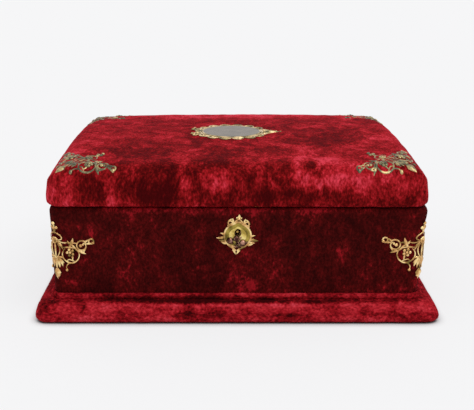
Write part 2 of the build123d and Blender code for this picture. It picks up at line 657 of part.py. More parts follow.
def lock_bolt():
    """A spine on two studs, with a finger for each loop; drawn back to -X, clear of the loops."""
    front, back = LOOP_Y - BOLT_THICKNESS / 2, LOOP_Y + BOLT_THICKNESS / 2
    tip = LOOP_WIDTH / 2 + FINGER_SHORT
    post_end = LOOP_WIDTH / 2 + STUD_CLEAR + BOLT_TRAVEL
    post_start = post_end + BOLT_POST
    finger_bottom = LOOP_BOTTOM + LOOP_FOOT + SLOT_CLEAR
    finger_top = finger_bottom + BOLT_FINGER
    bolt = span(-LOOP_X - post_start, LOOP_X, front, back, SPINE_BOTTOM, SPINE_BOTTOM + BOLT_SPINE)
    for x in (-LOOP_X, LOOP_X):
        bolt += span(x - post_start, x - post_end, front, back, SPINE_BOTTOM, finger_top)
        bolt += span(x - post_start, x - tip, front, back, finger_bottom, finger_top)
    for x in (STUD_LEFT, STUD_RIGHT):
        room = 2 * (STUD_RADIUS + STUD_CLEAR)
        lay = Plane(origin=(x - BOLT_TRAVEL / 2, back, SPINE_BOTTOM + BOLT_SPINE / 2),
                    x_dir=(1, 0, 0), z_dir=(0, -1, 0))
        bolt -= lay * extrude(Rectangle(BOLT_TRAVEL + room, room), BOLT_THICKNESS)
    return bolt - span(-TALON_WIDTH / 2, TALON_WIDTH / 2, front, back, SPINE_BOTTOM, SPINE_BOTTOM + TALON_HEIGHT)


def lock_spring():
    """A folded strip that hangs under the lock's top plate and steadies the bolt."""
    middle = -(BOLT_TRAVEL + LOOP_WIDTH) / 2
    belly = SPINE_BOTTOM + BOLT_SPINE + STUD_CLEAR
    end, flat = SPRING_SPAN / 2, SPRING_SPAN / 5
    strip = plate((middle - end, WOOD_RIM), (middle - flat, belly), (middle + flat, belly),
                  (middle + end, WOOD_RIM), (middle + end - 2 * SPRING_THICKNESS, WOOD_RIM),
                  (middle + flat, belly + SPRING_THICKNESS), (middle - flat, belly + SPRING_THICKNESS),
                  (middle - end + 2 * SPRING_THICKNESS, WOOD_RIM))
    lay = Plane(origin=(0, LOOP_Y + BOLT_THICKNESS / 2, 0), x_dir=(1, 0, 0), z_dir=(0, -1, 0))
    return lay * extrude(strip, BOLT_THICKNESS)


def strike_plate():
    """The plate under the front rail of the lid, with two loops that drop into the lock."""
    half = LOCK_LENGTH / 2 + SELVAGE_OVERHANG
    strike = span(-half, half, -RAIL_DEPTH / 2 + SELVAGE_SETBACK, -LID_INSIDE_DEPTH / 2,
                  LID_BOTTOM, RAIL_BOTTOM)
    reach_y = LOOP_EYE / 2 + LOOP_SIDE
    for x in (-LOOP_X, LOOP_X):
        strike += span(x - LOOP_WIDTH / 2, x + LOOP_WIDTH / 2, LOOP_Y - reach_y, LOOP_Y + reach_y,
                       LOOP_BOTTOM, LID_BOTTOM)
        eye_top = LOOP_BOTTOM + LOOP_FOOT + BOLT_FINGER + 2 * SLOT_CLEAR
        strike -= span(x - FAR, x + FAR, LOOP_Y - LOOP_EYE / 2, LOOP_Y + LOOP_EYE / 2,
                       LOOP_BOTTOM + LOOP_FOOT, eye_top)
    return strike


def main():
    # Ornament
    front_body_mounts, back_body_mounts = body_mounts()
    front_lid_mounts, back_lid_mounts = lid_mounts()
    key_plate = escutcheon()
    key_passage = keyhole()
    frame = plaque_frame()

    # Plinth
    board = base_board()
    write("base_board", board)
    write("plinth_plush", plinth_plush(board))
    write("bottom_paper", bottom_paper())
    for name, bead in zip(("front", "back", "left", "right"), foot_beads()):
        write("foot_bead_" + name, bead)

    # Body
    front, back, left, right = body_boards()
    half_lock = LOCK_LENGTH / 2 + LOCK_CLEAR
    front -= span(-half_lock, half_lock, LOCK_FRONT, 0, LOCK_BOTTOM - LOCK_CLEAR, WOOD_RIM)
    front = cut(front, [key_passage, key_plate, front_body_mounts])
    back -= back_body_mounts
    left = cut(left, [front_body_mounts, back_body_mounts])
    right = cut(right, [front_body_mounts, back_body_mounts])
    for name, wall in zip(("front", "back", "left", "right"), (front, back, left, right)):
        write("wall_" + name, wall)
    cover = body_plush()
    seats = [leaf_seat(x, WOOD_RIM, RIM_HEIGHT + SEAM_GAP / 2) for x in (-HINGE_X, HINGE_X)]
    lock_seat = plate_seat(WOOD_DEPTH / 2 - SELVAGE_SETBACK, INSIDE_DEPTH / 2, WOOD_RIM, FAR)
    write("body_plush", cut(cover, [front_body_mounts, back_body_mounts, key_plate, key_passage,
                                    lock_seat, *seats]))
    for name, lining in zip(("front", "back", "left", "right"), linings()):
        write("lining_" + name, lining)
    write("floor_pad", floor_pad())
    write("body_mounts_front", front_body_mounts)
    write("body_mounts_back", back_body_mounts)
    write("escutcheon", key_plate - key_passage)

    # Lock and hinges on the body
    write("lock_case", lock_case() - key_passage)
    write("lock_cap", lock_cap())
    write("lock_bolt", lock_bolt())
    write("lock_spring", lock_spring())
    hinges = (("left", -HINGE_X), ("right", HINGE_X))
    for name, x in hinges:
        write("hinge_leaf_lower_" + name, Pos(x, 0, 0) * hinge_leaf(False))
    write("hinge_pins", group([Pos(x, 0, 0) * hinge_pin() for name, x in hinges]))

    # Lid
    form = lid_form()
    lid_top_board = lid_board()
    rails = frame_boards(form & lid_ring(), RAIL_LENGTH, RAIL_DEPTH, RAIL)
    for name, rail in zip(("front", "back", "left", "right"), rails):
        write("lid_rail_" + name, rail)
    write("lid_board", cut(lid_top_board, [front_lid_mounts, back_lid_mounts, frame]))
    wadding = form & span(-FAR, FAR, -FAR, FAR, RAIL_TOP, FAR)
    write("lid_wadding", cut(wadding, [lid_top_board, front_lid_mounts, back_lid_mounts, frame]))
    cover = lid_plush(form)
    seats = [leaf_seat(x, LID_BOTTOM - SEAM_GAP / 2, RAIL_BOTTOM) for x in (-HINGE_X, HINGE_X)]
    strike_seat = plate_seat(RAIL_DEPTH / 2 - SELVAGE_SETBACK, LID_INSIDE_DEPTH / 2, 0, RAIL_BOTTOM)
    write("lid_plush", cut(cover, [front_lid_mounts, back_lid_mounts, frame, strike_seat, *seats]))
    write("lid_lining_pad", lid_lining_pad())
    write("lid_mounts_front", front_lid_mounts)
    write("lid_mounts_back", back_lid_mounts)
    write("plaque_frame", frame)
    write("plaque_plate", plaque_plate())
    write("strike_plate", strike_plate())
    for name, x in hinges:
        write("hinge_leaf_upper_" + name, Pos(x, 0, 0) * hinge_leaf(True))


main()
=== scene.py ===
import json
import math

import bmesh
import bpy
from mathutils import Matrix, Vector
from mathutils.bvhtree import BVHTree


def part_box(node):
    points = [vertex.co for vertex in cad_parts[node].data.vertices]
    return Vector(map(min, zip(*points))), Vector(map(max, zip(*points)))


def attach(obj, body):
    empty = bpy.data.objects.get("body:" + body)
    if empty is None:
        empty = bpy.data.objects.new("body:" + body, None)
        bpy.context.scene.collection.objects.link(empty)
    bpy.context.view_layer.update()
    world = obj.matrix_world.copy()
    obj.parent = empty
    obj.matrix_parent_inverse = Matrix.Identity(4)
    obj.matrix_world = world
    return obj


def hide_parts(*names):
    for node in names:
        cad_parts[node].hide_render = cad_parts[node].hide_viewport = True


# A keepsake box in crushed crimson plush with stamped gilt mounts.
# Metres, +Z up, front at -Y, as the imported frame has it. Ornament is drawn in millimetres.

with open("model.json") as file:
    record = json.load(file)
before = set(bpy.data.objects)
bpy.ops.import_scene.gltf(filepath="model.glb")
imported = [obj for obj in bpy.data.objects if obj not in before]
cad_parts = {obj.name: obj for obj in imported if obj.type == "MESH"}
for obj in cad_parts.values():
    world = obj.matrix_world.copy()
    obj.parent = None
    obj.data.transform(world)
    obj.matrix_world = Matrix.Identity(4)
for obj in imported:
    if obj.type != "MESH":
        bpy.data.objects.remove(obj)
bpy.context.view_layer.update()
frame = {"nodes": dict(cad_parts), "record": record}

MM = 0.001
SIDES = ("front", "back", "left", "right")

# Sizes that the covers and the metal share with the construction
BODY_CORNER = 8.0 * MM
PLINTH_CORNER = 9.0 * MM
LID_CORNER = 13.0 * MM      # rounding of the lid in plan
LID_SHOULDER = 13.0 * MM    # rounding along the front and back of its top
LID_END = 17.0 * MM         # rounding along the ends of its top
LID_CROWN = 3.5 * MM
CLOTH = 2.0 * MM
CLOTH_PRESSED = 1.2 * MM
LEAF_METAL = 1.3 * MM
MOUNT_POINT = 24.5 * MM     # diamond's tip below a mount's middle
MOUNT_SETBACK = 34.5 * MM   # middle of a lid mount from the lid's corner, along the diagonal
KEY_HEIGHT = 69.0 * MM
RAIL_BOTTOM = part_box("lid_rail_front")[0].z
WOOD_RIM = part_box("wall_front")[1].z
BEAD_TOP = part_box("foot_bead_front")[1].z

lid_low, lid_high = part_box("lid_plush")
body_low, body_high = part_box("body_plush")
plinth_low, plinth_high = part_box("plinth_plush")


# Making and shaping

def select(piece):
    """Makes one piece the only selected and active one."""
    bpy.ops.object.select_all(action="DESELECT")
    piece.select_set(True)
    bpy.context.view_layer.objects.active = piece


def settle(piece=None):
    """Puts the place, turn and scale of a piece, or else of the active one, into its mesh."""
    piece = piece or bpy.context.object
    select(piece)
    bpy.ops.object.transform_apply(location=True, rotation=True, scale=True)
    return piece


def block(name, low, high):
    """A closed block between two corners."""
    middle = (Vector(low) + Vector(high)) / 2
    bpy.ops.mesh.primitive_cube_add(size=1, location=middle)
    piece = bpy.context.object
    piece.name = name
    piece.scale = Vector(high) - Vector(low)
    return settle(piece)


def modify(piece, kind, **settings):
    """Adds a modifier, sets it and applies it."""
    select(piece)
    modifier = piece.modifiers.new(kind.lower(), kind)
    for key, value in settings.items():
        setattr(modifier, key, value)
    bpy.ops.object.modifier_apply(modifier=modifier.name)
    return piece


def round_edges(piece, wanted, radius, segments=5):
    """Bevels the edges that wanted(start, end) picks, in edit mode."""
    select(piece)
    bpy.ops.object.mode_set(mode="EDIT")
    bpy.ops.mesh.select_mode(type="EDGE")
    bpy.ops.mesh.select_all(action="DESELECT")
    mesh = bmesh.from_edit_mesh(piece.data)
    for edge in mesh.edges:
        start, end = (corner.co for corner in edge.verts)
        edge.select_set(wanted(start, end))
    mesh.select_flush_mode()
    bmesh.update_edit_mesh(piece.data)
    bpy.ops.mesh.bevel(offset=radius, segments=segments, profile=0.5, affect="EDGES")
    bpy.ops.object.mode_set(mode="OBJECT")
    return piece


def is_upright(start, end):
    return abs(start.x - end.x) + abs(start.y - end.y) < 0.1 * MM


def is_level_at(height):
    return lambda start, end: abs(start.z - height) < 0.1 * MM and abs(end.z - height) < 0.1 * MM


def runs_at(height, axis):
    """Picks the level edges at a height that run along one axis."""
    level = is_level_at(height)
    return lambda start, end: level(start, end) and abs(start[axis] - end[axis]) > MM


def upright_block(name, low, high, corner):
    """A block with its upright edges rounded."""
    return round_edges(block(name, low, high), is_upright, corner)


def carve(piece, *tools):
    """Cuts each tool's space out of a piece, and uses the tools up."""
    for tool in tools:
        modify(piece, "BOOLEAN", operation="DIFFERENCE", solver="EXACT", object=tool)
        bpy.data.objects.remove(tool)
    return piece


def join(name, pieces):
    """Joins pieces into one mesh."""
    bpy.ops.object.select_all(action="DESELECT")
    for piece in pieces:
        piece.select_set(True)
    bpy.context.view_layer.objects.active = pieces[0]
    if len(pieces) > 1:
        bpy.ops.object.join()
    piece = bpy.context.object
    piece.name = name
    return piece


def copy_of(piece, name):
    """A copy with a mesh of its own."""
    twin = piece.copy()
    twin.data = piece.data.copy()
    twin.name = name
    bpy.context.scene.collection.objects.link(twin)
    return twin


def remesh(piece, voxel):
    """Covers a piece with even quads."""
    return modify(piece, "REMESH", mode="VOXEL", voxel_size=voxel)


def crumple(piece, size, depth, detail=2):
    """Small soft lumps all over a piece, as in cloth that was crushed."""
    lumps = bpy.data.textures.new(piece.name + "_lumps", "CLOUDS")
    lumps.noise_scale = size
    lumps.noise_depth = detail
    return modify(piece, "DISPLACE", texture=lumps, strength=depth, mid_level=0.5, direction="NORMAL")


def move_points(piece, where):
    """Moves each point of a piece to where(point)."""
    for vertex in piece.data.vertices:
        vertex.co = where(vertex.co)
    piece.data.update()
    return piece


def smooth(piece, angle=40):
    select(piece)
    bpy.ops.object.shade_smooth_by_angle(angle=math.radians(angle))
    return piece


def dress(piece, material, body, nodes=()):
    """Gives a piece its finish, the body it rides on and the nodes that it stands for."""
    piece.data.materials.clear()
    piece.data.materials.append(material)
    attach(piece, body)
    if nodes:
        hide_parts(*nodes)
    return piece


# Materials

def linear(code):
    """An sRGB hex colour as linear RGBA."""
    shares = [int(code[place:place + 2], 16) / 255 for place in (1, 3, 5)]
    return tuple(c / 12.92 if c <= 0.04045 else ((c + 0.055) / 1.055) ** 2.4 for c in shares) + (1.0,)


def add(material, kind, inputs=None, stops=None, **settings):
    """Adds a node. An input given as a node or a socket is linked; anything else is set on the input."""
    tree = material.node_tree
    node = tree.nodes.new("ShaderNode" + kind)
    for key, value in settings.items():
        setattr(node, key, value)
    if stops:
        ramp = node.color_ramp.elements
        ramp.remove(ramp[-1])
        for index, (place, shade) in enumerate(stops):
            element = ramp.new(place) if index else ramp[0]
            element.position = place
            element.color = linear(shade) if isinstance(shade, str) else (shade, shade, shade, 1.0)
    for key, value in (inputs or {}).items():
        if isinstance(value, bpy.types.Node):
            value = value.outputs[0]
        if isinstance(value, bpy.types.NodeSocket):
            tree.links.new(value, node.inputs[key])
        else:
            node.inputs[key].default_value = value
    return node


def new_material(name):
    """An empty node material."""
    material = bpy.data.materials.new(name)
    material.use_nodes = True
    material.node_tree.nodes.clear()
    return material


def object_material(name):
    """An empty node material, and places measured on the object in metres."""
    material = new_material(name)
    return material, add(material, "TexCoord").outputs["Object"]


def surfaced(material, look):
    """Ends a material with a surface that has these inputs."""
    shader = add(material, "BsdfPrincipled", look)
    add(material, "OutputMaterial", {"Surface": shader})
    return material


def crushed_plush(name, shades, glow, drawn, nap_and_painted_light, stir=16):
    """Crushed silk plush: a 2 mm pile pressed every way. Noise spreads the shades, from dark to light, in
    patches that stand both for the crushed nap and for painted sheen: rose where the pile would lie down
    and shine along its sides, near black where it would face the eye. The crushing runs longest where
    drawn is least. Each place in nap_and_painted_light, in millimetres with its reach along each axis, is
    made lighter or darker; some places are nap patches, others painted highlights and painted shade, and
    stir is how far the creases bend its outline."""
    m, place = object_material(name)
    along = add(m, "Mapping", {"Vector": place, "Scale": drawn})
    patches, creases, pile = [
        add(m, "TexNoise", {"Vector": along, "Scale": 1 / (size * MM), "Detail": detail,
                            "Roughness": roughness, "Distortion": distortion})
        for size, detail, roughness, distortion in (
            (30, 3.0, 0.6, 0.5), (8, 4.0, 0.65, 0.6), (1.5, 3.0, 0.5, 0.0))]
    nap = add(m, "Mix", {"Factor": 0.5, "A": patches, "B": creases})
    grain = add(m, "Mix", {"Factor": 0.24, "A": nap, "B": pile})
    stirred = add(m, "VectorMath", {0: creases.outputs["Color"], 1: (stir * MM,) * 3}, operation="MULTIPLY")
    bent = add(m, "VectorMath", {0: place, 1: stirred}, operation="ADD")
    level = grain
    # each place lightens or darkens the colour: partly patches of the nap, partly painted highlight and
    # painted shade
    for middle, reach, lift in nap_and_painted_light:
        shifted = [(c + stir / 2) * MM for c in middle]
        away = add(m, "VectorMath", {0: bent, 1: shifted}, operation="SUBTRACT")
        away = add(m, "VectorMath", {0: away, 1: [c * MM for c in reach]}, operation="DIVIDE")
        away = add(m, "VectorMath", {0: away}, operation="LENGTH")
        near = add(m, "MapRange", {"Value": away.outputs["Value"], "From Min": 1.0, "From Max": 0.1,
                                   "To Min": 0.0, "To Max": lift}, interpolation_type="SMOOTHSTEP")
        level = add(m, "Math", {0: level, 1: near}, operation="ADD")
    # the shades hold the plush's own colour together with painted sheen and painted shade
    dye_and_painted_sheen = add(m, "ValToRGB", {"Fac": level}, stops=list(zip(NAP_LEVELS, shades)))
    tips = add(m, "MapRange", {"Value": pile, "From Min": 0.3, "From Max": 0.7,
                               "To Min": 0.78, "To Max": 1.22})
    dye_and_painted_sheen = add(m, "HueSaturation", {"Color": dye_and_painted_sheen, "Value": tips})
    folds = add(m, "Bump", {"Strength": 0.4, "Distance": 1.0 * MM, "Height": nap})
    tufts = add(m, "Bump", {"Strength": 0.4, "Distance": 0.4 * MM, "Height": pile, "Normal": folds})
    return surfaced(m, {
        "Base Color": dye_and_painted_sheen, "Roughness": 0.95, "IOR": 1.45, "Specular IOR Level": 0.05,
        "Normal": tufts, "Sheen Weight": glow, "Sheen Roughness": 0.28,
        "Sheen Tint": linear("#E02A44")})


def stamped_metal(name, bright, dull, tarnish, roughness, dirt_and_painted_shade):
    """Thin brass, stamped and gilt: its own colour on the high places, painted darker brown in the hollow
    places by ambient occlusion (partly real dirt, partly painted shade), and tarnished in soft clouds where
    the gilding has worn."""
    m, place = object_material(name)
    clouds = add(m, "TexNoise", {"Vector": place, "Scale": 1 / (6 * MM), "Detail": 4.0})
    specks = add(m, "TexNoise", {"Vector": place, "Scale": 1 / (0.8 * MM), "Detail": 2.0})
    worn = add(m, "ValToRGB", {"Fac": clouds}, stops=[(0.40, bright), (0.52, dull), (0.64, tarnish)])
    # painted shade: ambient occlusion darkens creases and recesses towards dark brown, standing partly for
    # dirt and partly for shade
    hollow_shade = add(m, "AmbientOcclusion", {"Distance": 2.0 * MM}, samples=8)
    depth = add(m, "ValToRGB", {"Fac": hollow_shade.outputs["AO"]}, stops=[(0.42, 1.0), (0.92, 0.0)])
    shade = add(m, "Math", {0: depth, 1: dirt_and_painted_shade}, operation="MULTIPLY")
    colour = add(m, "MixRGB", {"Fac": shade, "Color1": worn, "Color2": linear("#2E1F10")})
    bump = add(m, "Bump", {"Strength": 0.2, "Distance": 0.12 * MM, "Height": specks})
    dulled = add(m, "MapRange", {"Value": clouds, "From Min": 0.35, "From Max": 0.7,
                                 "To Min": roughness, "To Max": roughness + 0.22})
    return surfaced(m, {"Base Color": colour, "Metallic": 1.0, "Roughness": dulled, "Normal": bump})


def streaked(name, stops, cloud, line, stretch, strength, relief, look):
    """A surface with soft clouds of a second tone and fine raised lines drawn out along X."""
    m, place = object_material(name)
    along = add(m, "Mapping", {"Vector": place, "Scale": (stretch, 1.0, 1.0)})
    lines = add(m, "TexNoise", {"Vector": along, "Scale": 1 / line, "Detail": 2.0})
    clouds = add(m, "TexNoise", {"Vector": place, "Scale": 1 / cloud, "Detail": 3.0})
    mixed = add(m, "ValToRGB", {"Fac": clouds}, stops=stops)
    bump = add(m, "Bump", {"Strength": strength, "Distance": relief, "Height": lines})
    return surfaced(m, {"Base Color": mixed, "Normal": bump, **look})


def drawn_metal(name, colour, stain, roughness):
    """Plain drawn or rolled metal with a few dull stains."""
    return streaked(name, [(0.42, colour), (0.68, stain)], 8 * MM, 0.35 * MM, 0.06, 0.2, 0.05 * MM,
                    {"Metallic": 1.0, "Roughness": roughness})


def satin_weave(name, colour, shade):
    """Silk satin: long smooth floats that shine one way, with faint slubs."""
    return streaked(name, [(0.35, colour), (0.7, shade)], 30 * MM, 0.4 * MM, 0.05, 0.25, 0.08 * MM,
                    {"Roughness": 0.42, "Specular IOR Level": 0.6, "Sheen Weight": 0.25,
                     "Sheen Roughness": 0.3, "Sheen Tint": linear("#FFF2E0")})


def plain_wood(name, early, late):
    """Unvarnished softwood board: straight rings about 2.5 mm apart along its length."""
    m, place = object_material(name)
    along = add(m, "Mapping", {"Vector": place, "Scale": (0.08, 1.0, 1.0)})
    rings = add(m, "TexWave", {"Vector": along, "Scale": 1 / (16 * MM), "Distortion": 3.0,
                               "Detail": 3.0}, wave_type="BANDS", bands_direction="Z")
    mixed = add(m, "ValToRGB", {"Fac": rings.outputs["Fac"]}, stops=[(0.2, early), (0.9, late)])
    bump = add(m, "Bump", {"Strength": 0.2, "Distance": 0.1 * MM, "Height": rings.outputs["Fac"]})
    return surfaced(m, {"Base Color": mixed, "Roughness": 0.7, "Normal": bump})


def fibrous(name, colour, fleck, grain, lift):
    """Paper or loose cotton: matt fibres that lie every way."""
    m, place = object_material(name)
    fibres = add(m, "TexNoise", {"Vector": place, "Scale": 1 / grain, "Detail": 5.0, "Distortion": 2.0})
    mixed = add(m, "ValToRGB", {"Fac": fibres}, stops=[(0.35, colour), (0.65, fleck)])
    bump = add(m, "Bump", {"Strength": 0.5, "Distance": lift, "Height": fibres})
    return surfaced(m, {"Base Color": mixed, "Roughness": 0.9, "Normal": bump})


NAP_LEVELS = (0.37, 0.44, 0.50, 0.57, 0.65)    # where the nap's noise takes each of the five shades
# Lighter and darker places on the lid: nap patches, with a painted highlight (sheen) along the back edge and
# on the top's right, and painted shade over the left half of the front
LID_NAP_AND_PAINTED_LIGHT = [
    ((62, -92, 124), (34, 24, 14), 0.13), ((66, -110, 109), (40, 14, 12), 0.12),
    ((120, -22, 125), (20, 18, 10), 0.09), ((122, -110, 105), (26, 14, 14), 0.03),
    ((54, -96, 123), (9, 18, 12), -0.12), ((13, -110, 114), (30, 16, 12), -0.06),
    ((-107, -36, 125), (26, 20, 10), 0.06), ((-127, -60, 123), (16, 16, 10), 0.06),
    ((-62, -43, 125), (70, 46, 12), -0.05), ((60, -20, 126), (70, 40, 12), -0.04),
    ((-66, -110, 118), (60, 18, 8), -0.08), ((-108, -110, 105), (20, 16, 16), -0.09),
    ((-70, -110, 103), (56, 16, 18), -0.09), ((-94, -110, 100), (7, 14, 18), 0.12),
    ((-38, -110, 103), (10, 14, 14), 0.08), ((-9, -110, 110), (11, 20, 18), 0.08),
    ((20, -110, 97), (160, 16, 12), -0.05), ((18, -110, 100), (20, 16, 12), -0.07),
    ((0, 88, 125), (170, 34, 14), 0.12)]
# Lighter and darker places on the body's front: nap patches, and a painted highlight along the top just under
# the seam
BODY_NAP_AND_PAINTED_LIGHT = [
    ((0, -107, 88), (160, 12, 8), 0.14), ((-111, -107, 71), (9, 12, 9), 0.11),
    ((-84, -107, 72), (16, 12, 24), -0.06), ((-25, -107, 40), (7, 12, 5), 0.11),
    ((-126, -107, 26), (22, 14, 9), 0.09), ((81, -107, 54), (8, 12, 15), 0.13),
    ((9, -107, 27), (12, 12, 7), 0.10), ((103, -107, 39), (11, 12, 9), 0.06),
    ((136, -107, 27), (16, 14, 10), 0.10)]
# On the foot, front and back: painted shade on the ledge behind the bead, a painted highlight along the
# plinth's rounded top edge, and darker lower down its face
FOOT_NAP_AND_PAINTED_LIGHT = [((0, side * y, z), (190, wide, tall), lift) for side in (-1, 1)
                for y, z, wide, tall, lift in ((111.5, 16, 5.2, 6.0, -0.19), (117, 15, 3.6, 3.0, 0.07),
                                               (119, 8, 6.0, 3.5, -0.05))]
# One plush in three sets of shades: besides any real difference in nap, the lid's lighter and the body's
# darker shades paint the sheen and shade that each shows
lid_plush = crushed_plush("crimson_plush_lid", ("#420406", "#5C0809", "#841014", "#AE1F28", "#D03A4A"),
                          0.5, (1.0, 0.8, 0.55), LID_NAP_AND_PAINTED_LIGHT)
body_plush = crushed_plush("crimson_plush_body", ("#2C0505", "#360606", "#420808", "#560B0C", "#8C141C"),
                           0.22, (1.0, 1.0, 0.7), BODY_NAP_AND_PAINTED_LIGHT)
foot_plush = crushed_plush("crimson_plush_foot", ("#3A0406", "#6C0A0F", "#94141D", "#B4262F", "#CA3B48"),
                           0.45, (0.7, 0.7, 1.0), FOOT_NAP_AND_PAINTED_LIGHT, 4)
gilt = stamped_metal("gilt_brass_stamped", "#FCDE9C", "#D8A468", "#86703C", 0.26, 1.0)
# Paler and darker copies of the gilt for the keyhole plate: painted light on its niche, painted shade in the
# hollow round it
lit_niche_gilt = stamped_metal("gilt_brass_niche_lit", "#F4E090", "#DCC06A", "#B09648", 0.28, 0.9)
shaded_gilt = stamped_metal("gilt_brass_shaded", "#B8A04C", "#94803A", "#6E5E2C", 0.4, 0.9)
tarnished = stamped_metal("gilt_brass_tarnished", "#B8A272", "#77745A", "#4A4E3E", 0.3, 0.9)
worn_gilt = stamped_metal("gilt_brass_worn", "#EED09C", "#B49C68", "#6E6A4A", 0.28, 0.9)
bronze = stamped_metal("copper_bronze_spray", "#BC8E78", "#4C2E26", "#24140F", 0.3, 0.95)
silvered = drawn_metal("silvered_brass_plate", "#75685A", "#5C5245", 0.3)
finishes = {
    "wood": plain_wood("softwood_board", "#C9A06C", "#9A7040"),
    "paper": fibrous("dark_base_paper", "#3B302B", "#2A211E", 0.6 * MM, 0.05 * MM),
    "satin": satin_weave("ivory_satin", "#E8D9C2", "#DDC9AC"),
    "wadding": fibrous("cotton_wadding", "#E4DDCB", "#CFC6B0", 3 * MM, 1.0 * MM),
    "gilt_brass": gilt,
    "tarnished_gilt": tarnished,
    "silvered_plate": silvered,
    "lock_brass": drawn_metal("lock_brass_satin", "#C9A258", "#94713A", 0.34),
    "hinge_brass": drawn_metal("hinge_brass_satin", "#C29A50", "#866434", 0.36),
    "spring_steel": drawn_metal("spring_steel_blued", "#5E6470", "#3C4048", 0.3),
    "pin_steel": drawn_metal("pin_steel_drawn", "#A9A9A6", "#77746E", 0.3),
}


# Plush covers

def grown(low, high, amount):
    """A box's corners moved outwards by amount on each axis."""
    by = Vector(amount)
    return Vector(low) - by, Vector(high) + by


def ramp(value, start, end):
    """Rises smoothly from 0 at start to 1 at end."""
    share = min(1.0, max(0.0, (value - start) / (end - start)))
    return share * share * (3 - 2 * share)


def pillow(name, low, high, corner, shoulder, end, segments):
    """A block rounded in plan, with one rounding along its top's front and back and another along its
    ends. One segment planes the edges off instead."""
    form = round_edges(block(name, low, high), is_upright, corner, segments)
    for axis, radius in ((0, shoulder), (1, end)):
        reach = [0.0, 0.0, 0.0]
        reach[axis] = BELOW
        hull_low, hull_high = grown(low, high, reach)
        hull_low.z -= BELOW
        hull = round_edges(block("hull", hull_low, hull_high), runs_at(high.z, axis), radius, segments)
        modify(form, "BOOLEAN", operation="INTERSECT", solver="EXACT", object=hull)
        bpy.data.objects.remove(hull)
    return form


def arch(point, low, high, crown):
    """Lowers a point of a lid-shaped block towards the front and back edges."""
    half_depth = (high[1] - low[1]) / 2
    rise = max(0.0, (point.z - low[2]) / (high[2] - low[2]))
    return Vector((point.x, point.y, point.z - crown * (point.y / half_depth) ** 2 * rise))


def bulge(point, low, high, amounts, belly, falloff=0.8):
    """Pushes a point outwards as wadding under a cover does, by its own amount at the left, right,
    front and back. The share of the height at which it is widest is belly."""
    share = min(1.0, max(0.0, (point.z - low[2]) / (high[2] - low[2])))
    out = max(0.0, math.sin(math.pi * share ** (math.log(0.5) / math.log(belly)))) ** falloff
    middle = (Vector(low) + Vector(high)) / 2
    half = (Vector(high) - Vector(low)) / 2
    left, right, front, back = amounts
    across = (point.x - middle.x) / half.x
    along = (point.y - middle.y) / half.y
    return Vector((point.x + out * across * (left if across < 0 else right),
                   point.y + out * along * (front if along < 0 else back), point.z))


# Sizes of the covers' own
BELOW = 5 * MM              # how far a cutting block reaches past what it cuts
SEAT_GAP = 0.2 * MM
OPENING_GAP = 0.5 * MM      # round the satin pad in the lid
COVER_VOXEL = 2.2 * MM
PLINTH_VOXEL = 2.0 * MM
BEAD_VOXEL = 0.8 * MM
LID_LIP = 1.8 * MM          # rounding round the lid's underside
LID_BULGE = (2.5 * MM, 2.8 * MM, 1.6 * MM, 1.0 * MM)    # at the left, right, front and back
LID_BELLY = 0.16
LID_DROOP = 2.0 * MM        # sag of the stuffing at the left end of the top
DROOP_START = 60 * MM       # where that sag begins
CORNER_DROOP = (2.0 * MM, 3.2 * MM)    # how far the cover is drawn down at the front and back corners
WADDING_EDGES = (7.0 * MM, 8.0 * MM, 12.0 * MM)   # planed off the padding's corners, front and ends
RIM_FOLD = 1.4 * MM
LEFT_FULL = (0.8 * MM, 0.7 * MM)     # how far the plush stands out at half height, and more under the rim
RIGHT_FULL = (2.3 * MM, 1.5 * MM)
FULL_FROM = (BEAD_TOP - 4 * MM, 55 * MM)    # heights between which the first of these grows
RIM_FULL_FROM = (70 * MM, 84 * MM)  # and the second
PLINTH_EDGE = 6.0 * MM
PLINTH_BULGE = (2.1 * MM, 3.3 * MM, 1.5 * MM, 1.5 * MM)
PLINTH_BELLY = 0.28
PLINTH_TUCK = 1.0 * MM      # rounding where the plush turns under
BEAD_ROUND = 2.0 * MM
BEAD_FULL = 0.8 * MM        # how much the pile adds to the bead's height
KEYHOLE = (2.7 * MM, 3.3 * MM)   # half width and half height of the eye in the keyhole plate
KEY_CLEAR = 0.4 * MM        # between the eye and the hole in the plush
# Size and height of the crushed cloth's lumps
LID_LUMPS = (13 * MM, 0.9 * MM)
BODY_LUMPS = (15 * MM, 0.7 * MM)
PLINTH_LUMPS = (11 * MM, 0.7 * MM)
BEAD_LUMPS = (6 * MM, 0.5 * MM)


def lid_form():
    """The padded outside of the lid: soft ends, an arched top that sags a little, and a low belly."""
    form = pillow("lid_form", lid_low, lid_high, LID_CORNER, LID_SHOULDER, LID_END, 6)
    round_edges(form, is_level_at(lid_low.z), LID_LIP, 3)
    remesh(form, COVER_VOXEL)
    modify(form, "SMOOTH", factor=0.5, iterations=4)
    move_points(form, lambda point: arch(point, lid_low, lid_high, LID_CROWN))
    move_points(form, lambda point: bulge(point, lid_low, lid_high, LID_BULGE, LID_BELLY, 1.2))
    return move_points(form, sagged)


def sagged(point):
    """Lowers a point of the lid's padding and cover where the stuffing has sunk."""
    rise = max(0.0, (point.z - lid_low.z) / (lid_high.z - lid_low.z))
    leftness = max(0.0, (DROOP_START - point.x) / (DROOP_START - lid_low.x))
    corner = CORNER_DROOP[point.y > 0] * abs(point.x / lid_high.x) ** 4 * (point.y / lid_high.y) ** 2
    return point - Vector((0, 0, (LID_DROOP * leftness ** 2 + corner) * rise))


def padding_form():
    """The space inside the lid's cover, filled by its rails, board and wadding."""
    low, high = grown(lid_low, lid_high, (-CLOTH, -CLOTH, -CLOTH))
    low.z = RAIL_BOTTOM
    form = remesh(pillow("padding_form", low, high, *WADDING_EDGES, 1), 2 * COVER_VOXEL)
    move_points(form, lambda point: arch(point, low, high, LID_CROWN))
    return move_points(form, sagged)


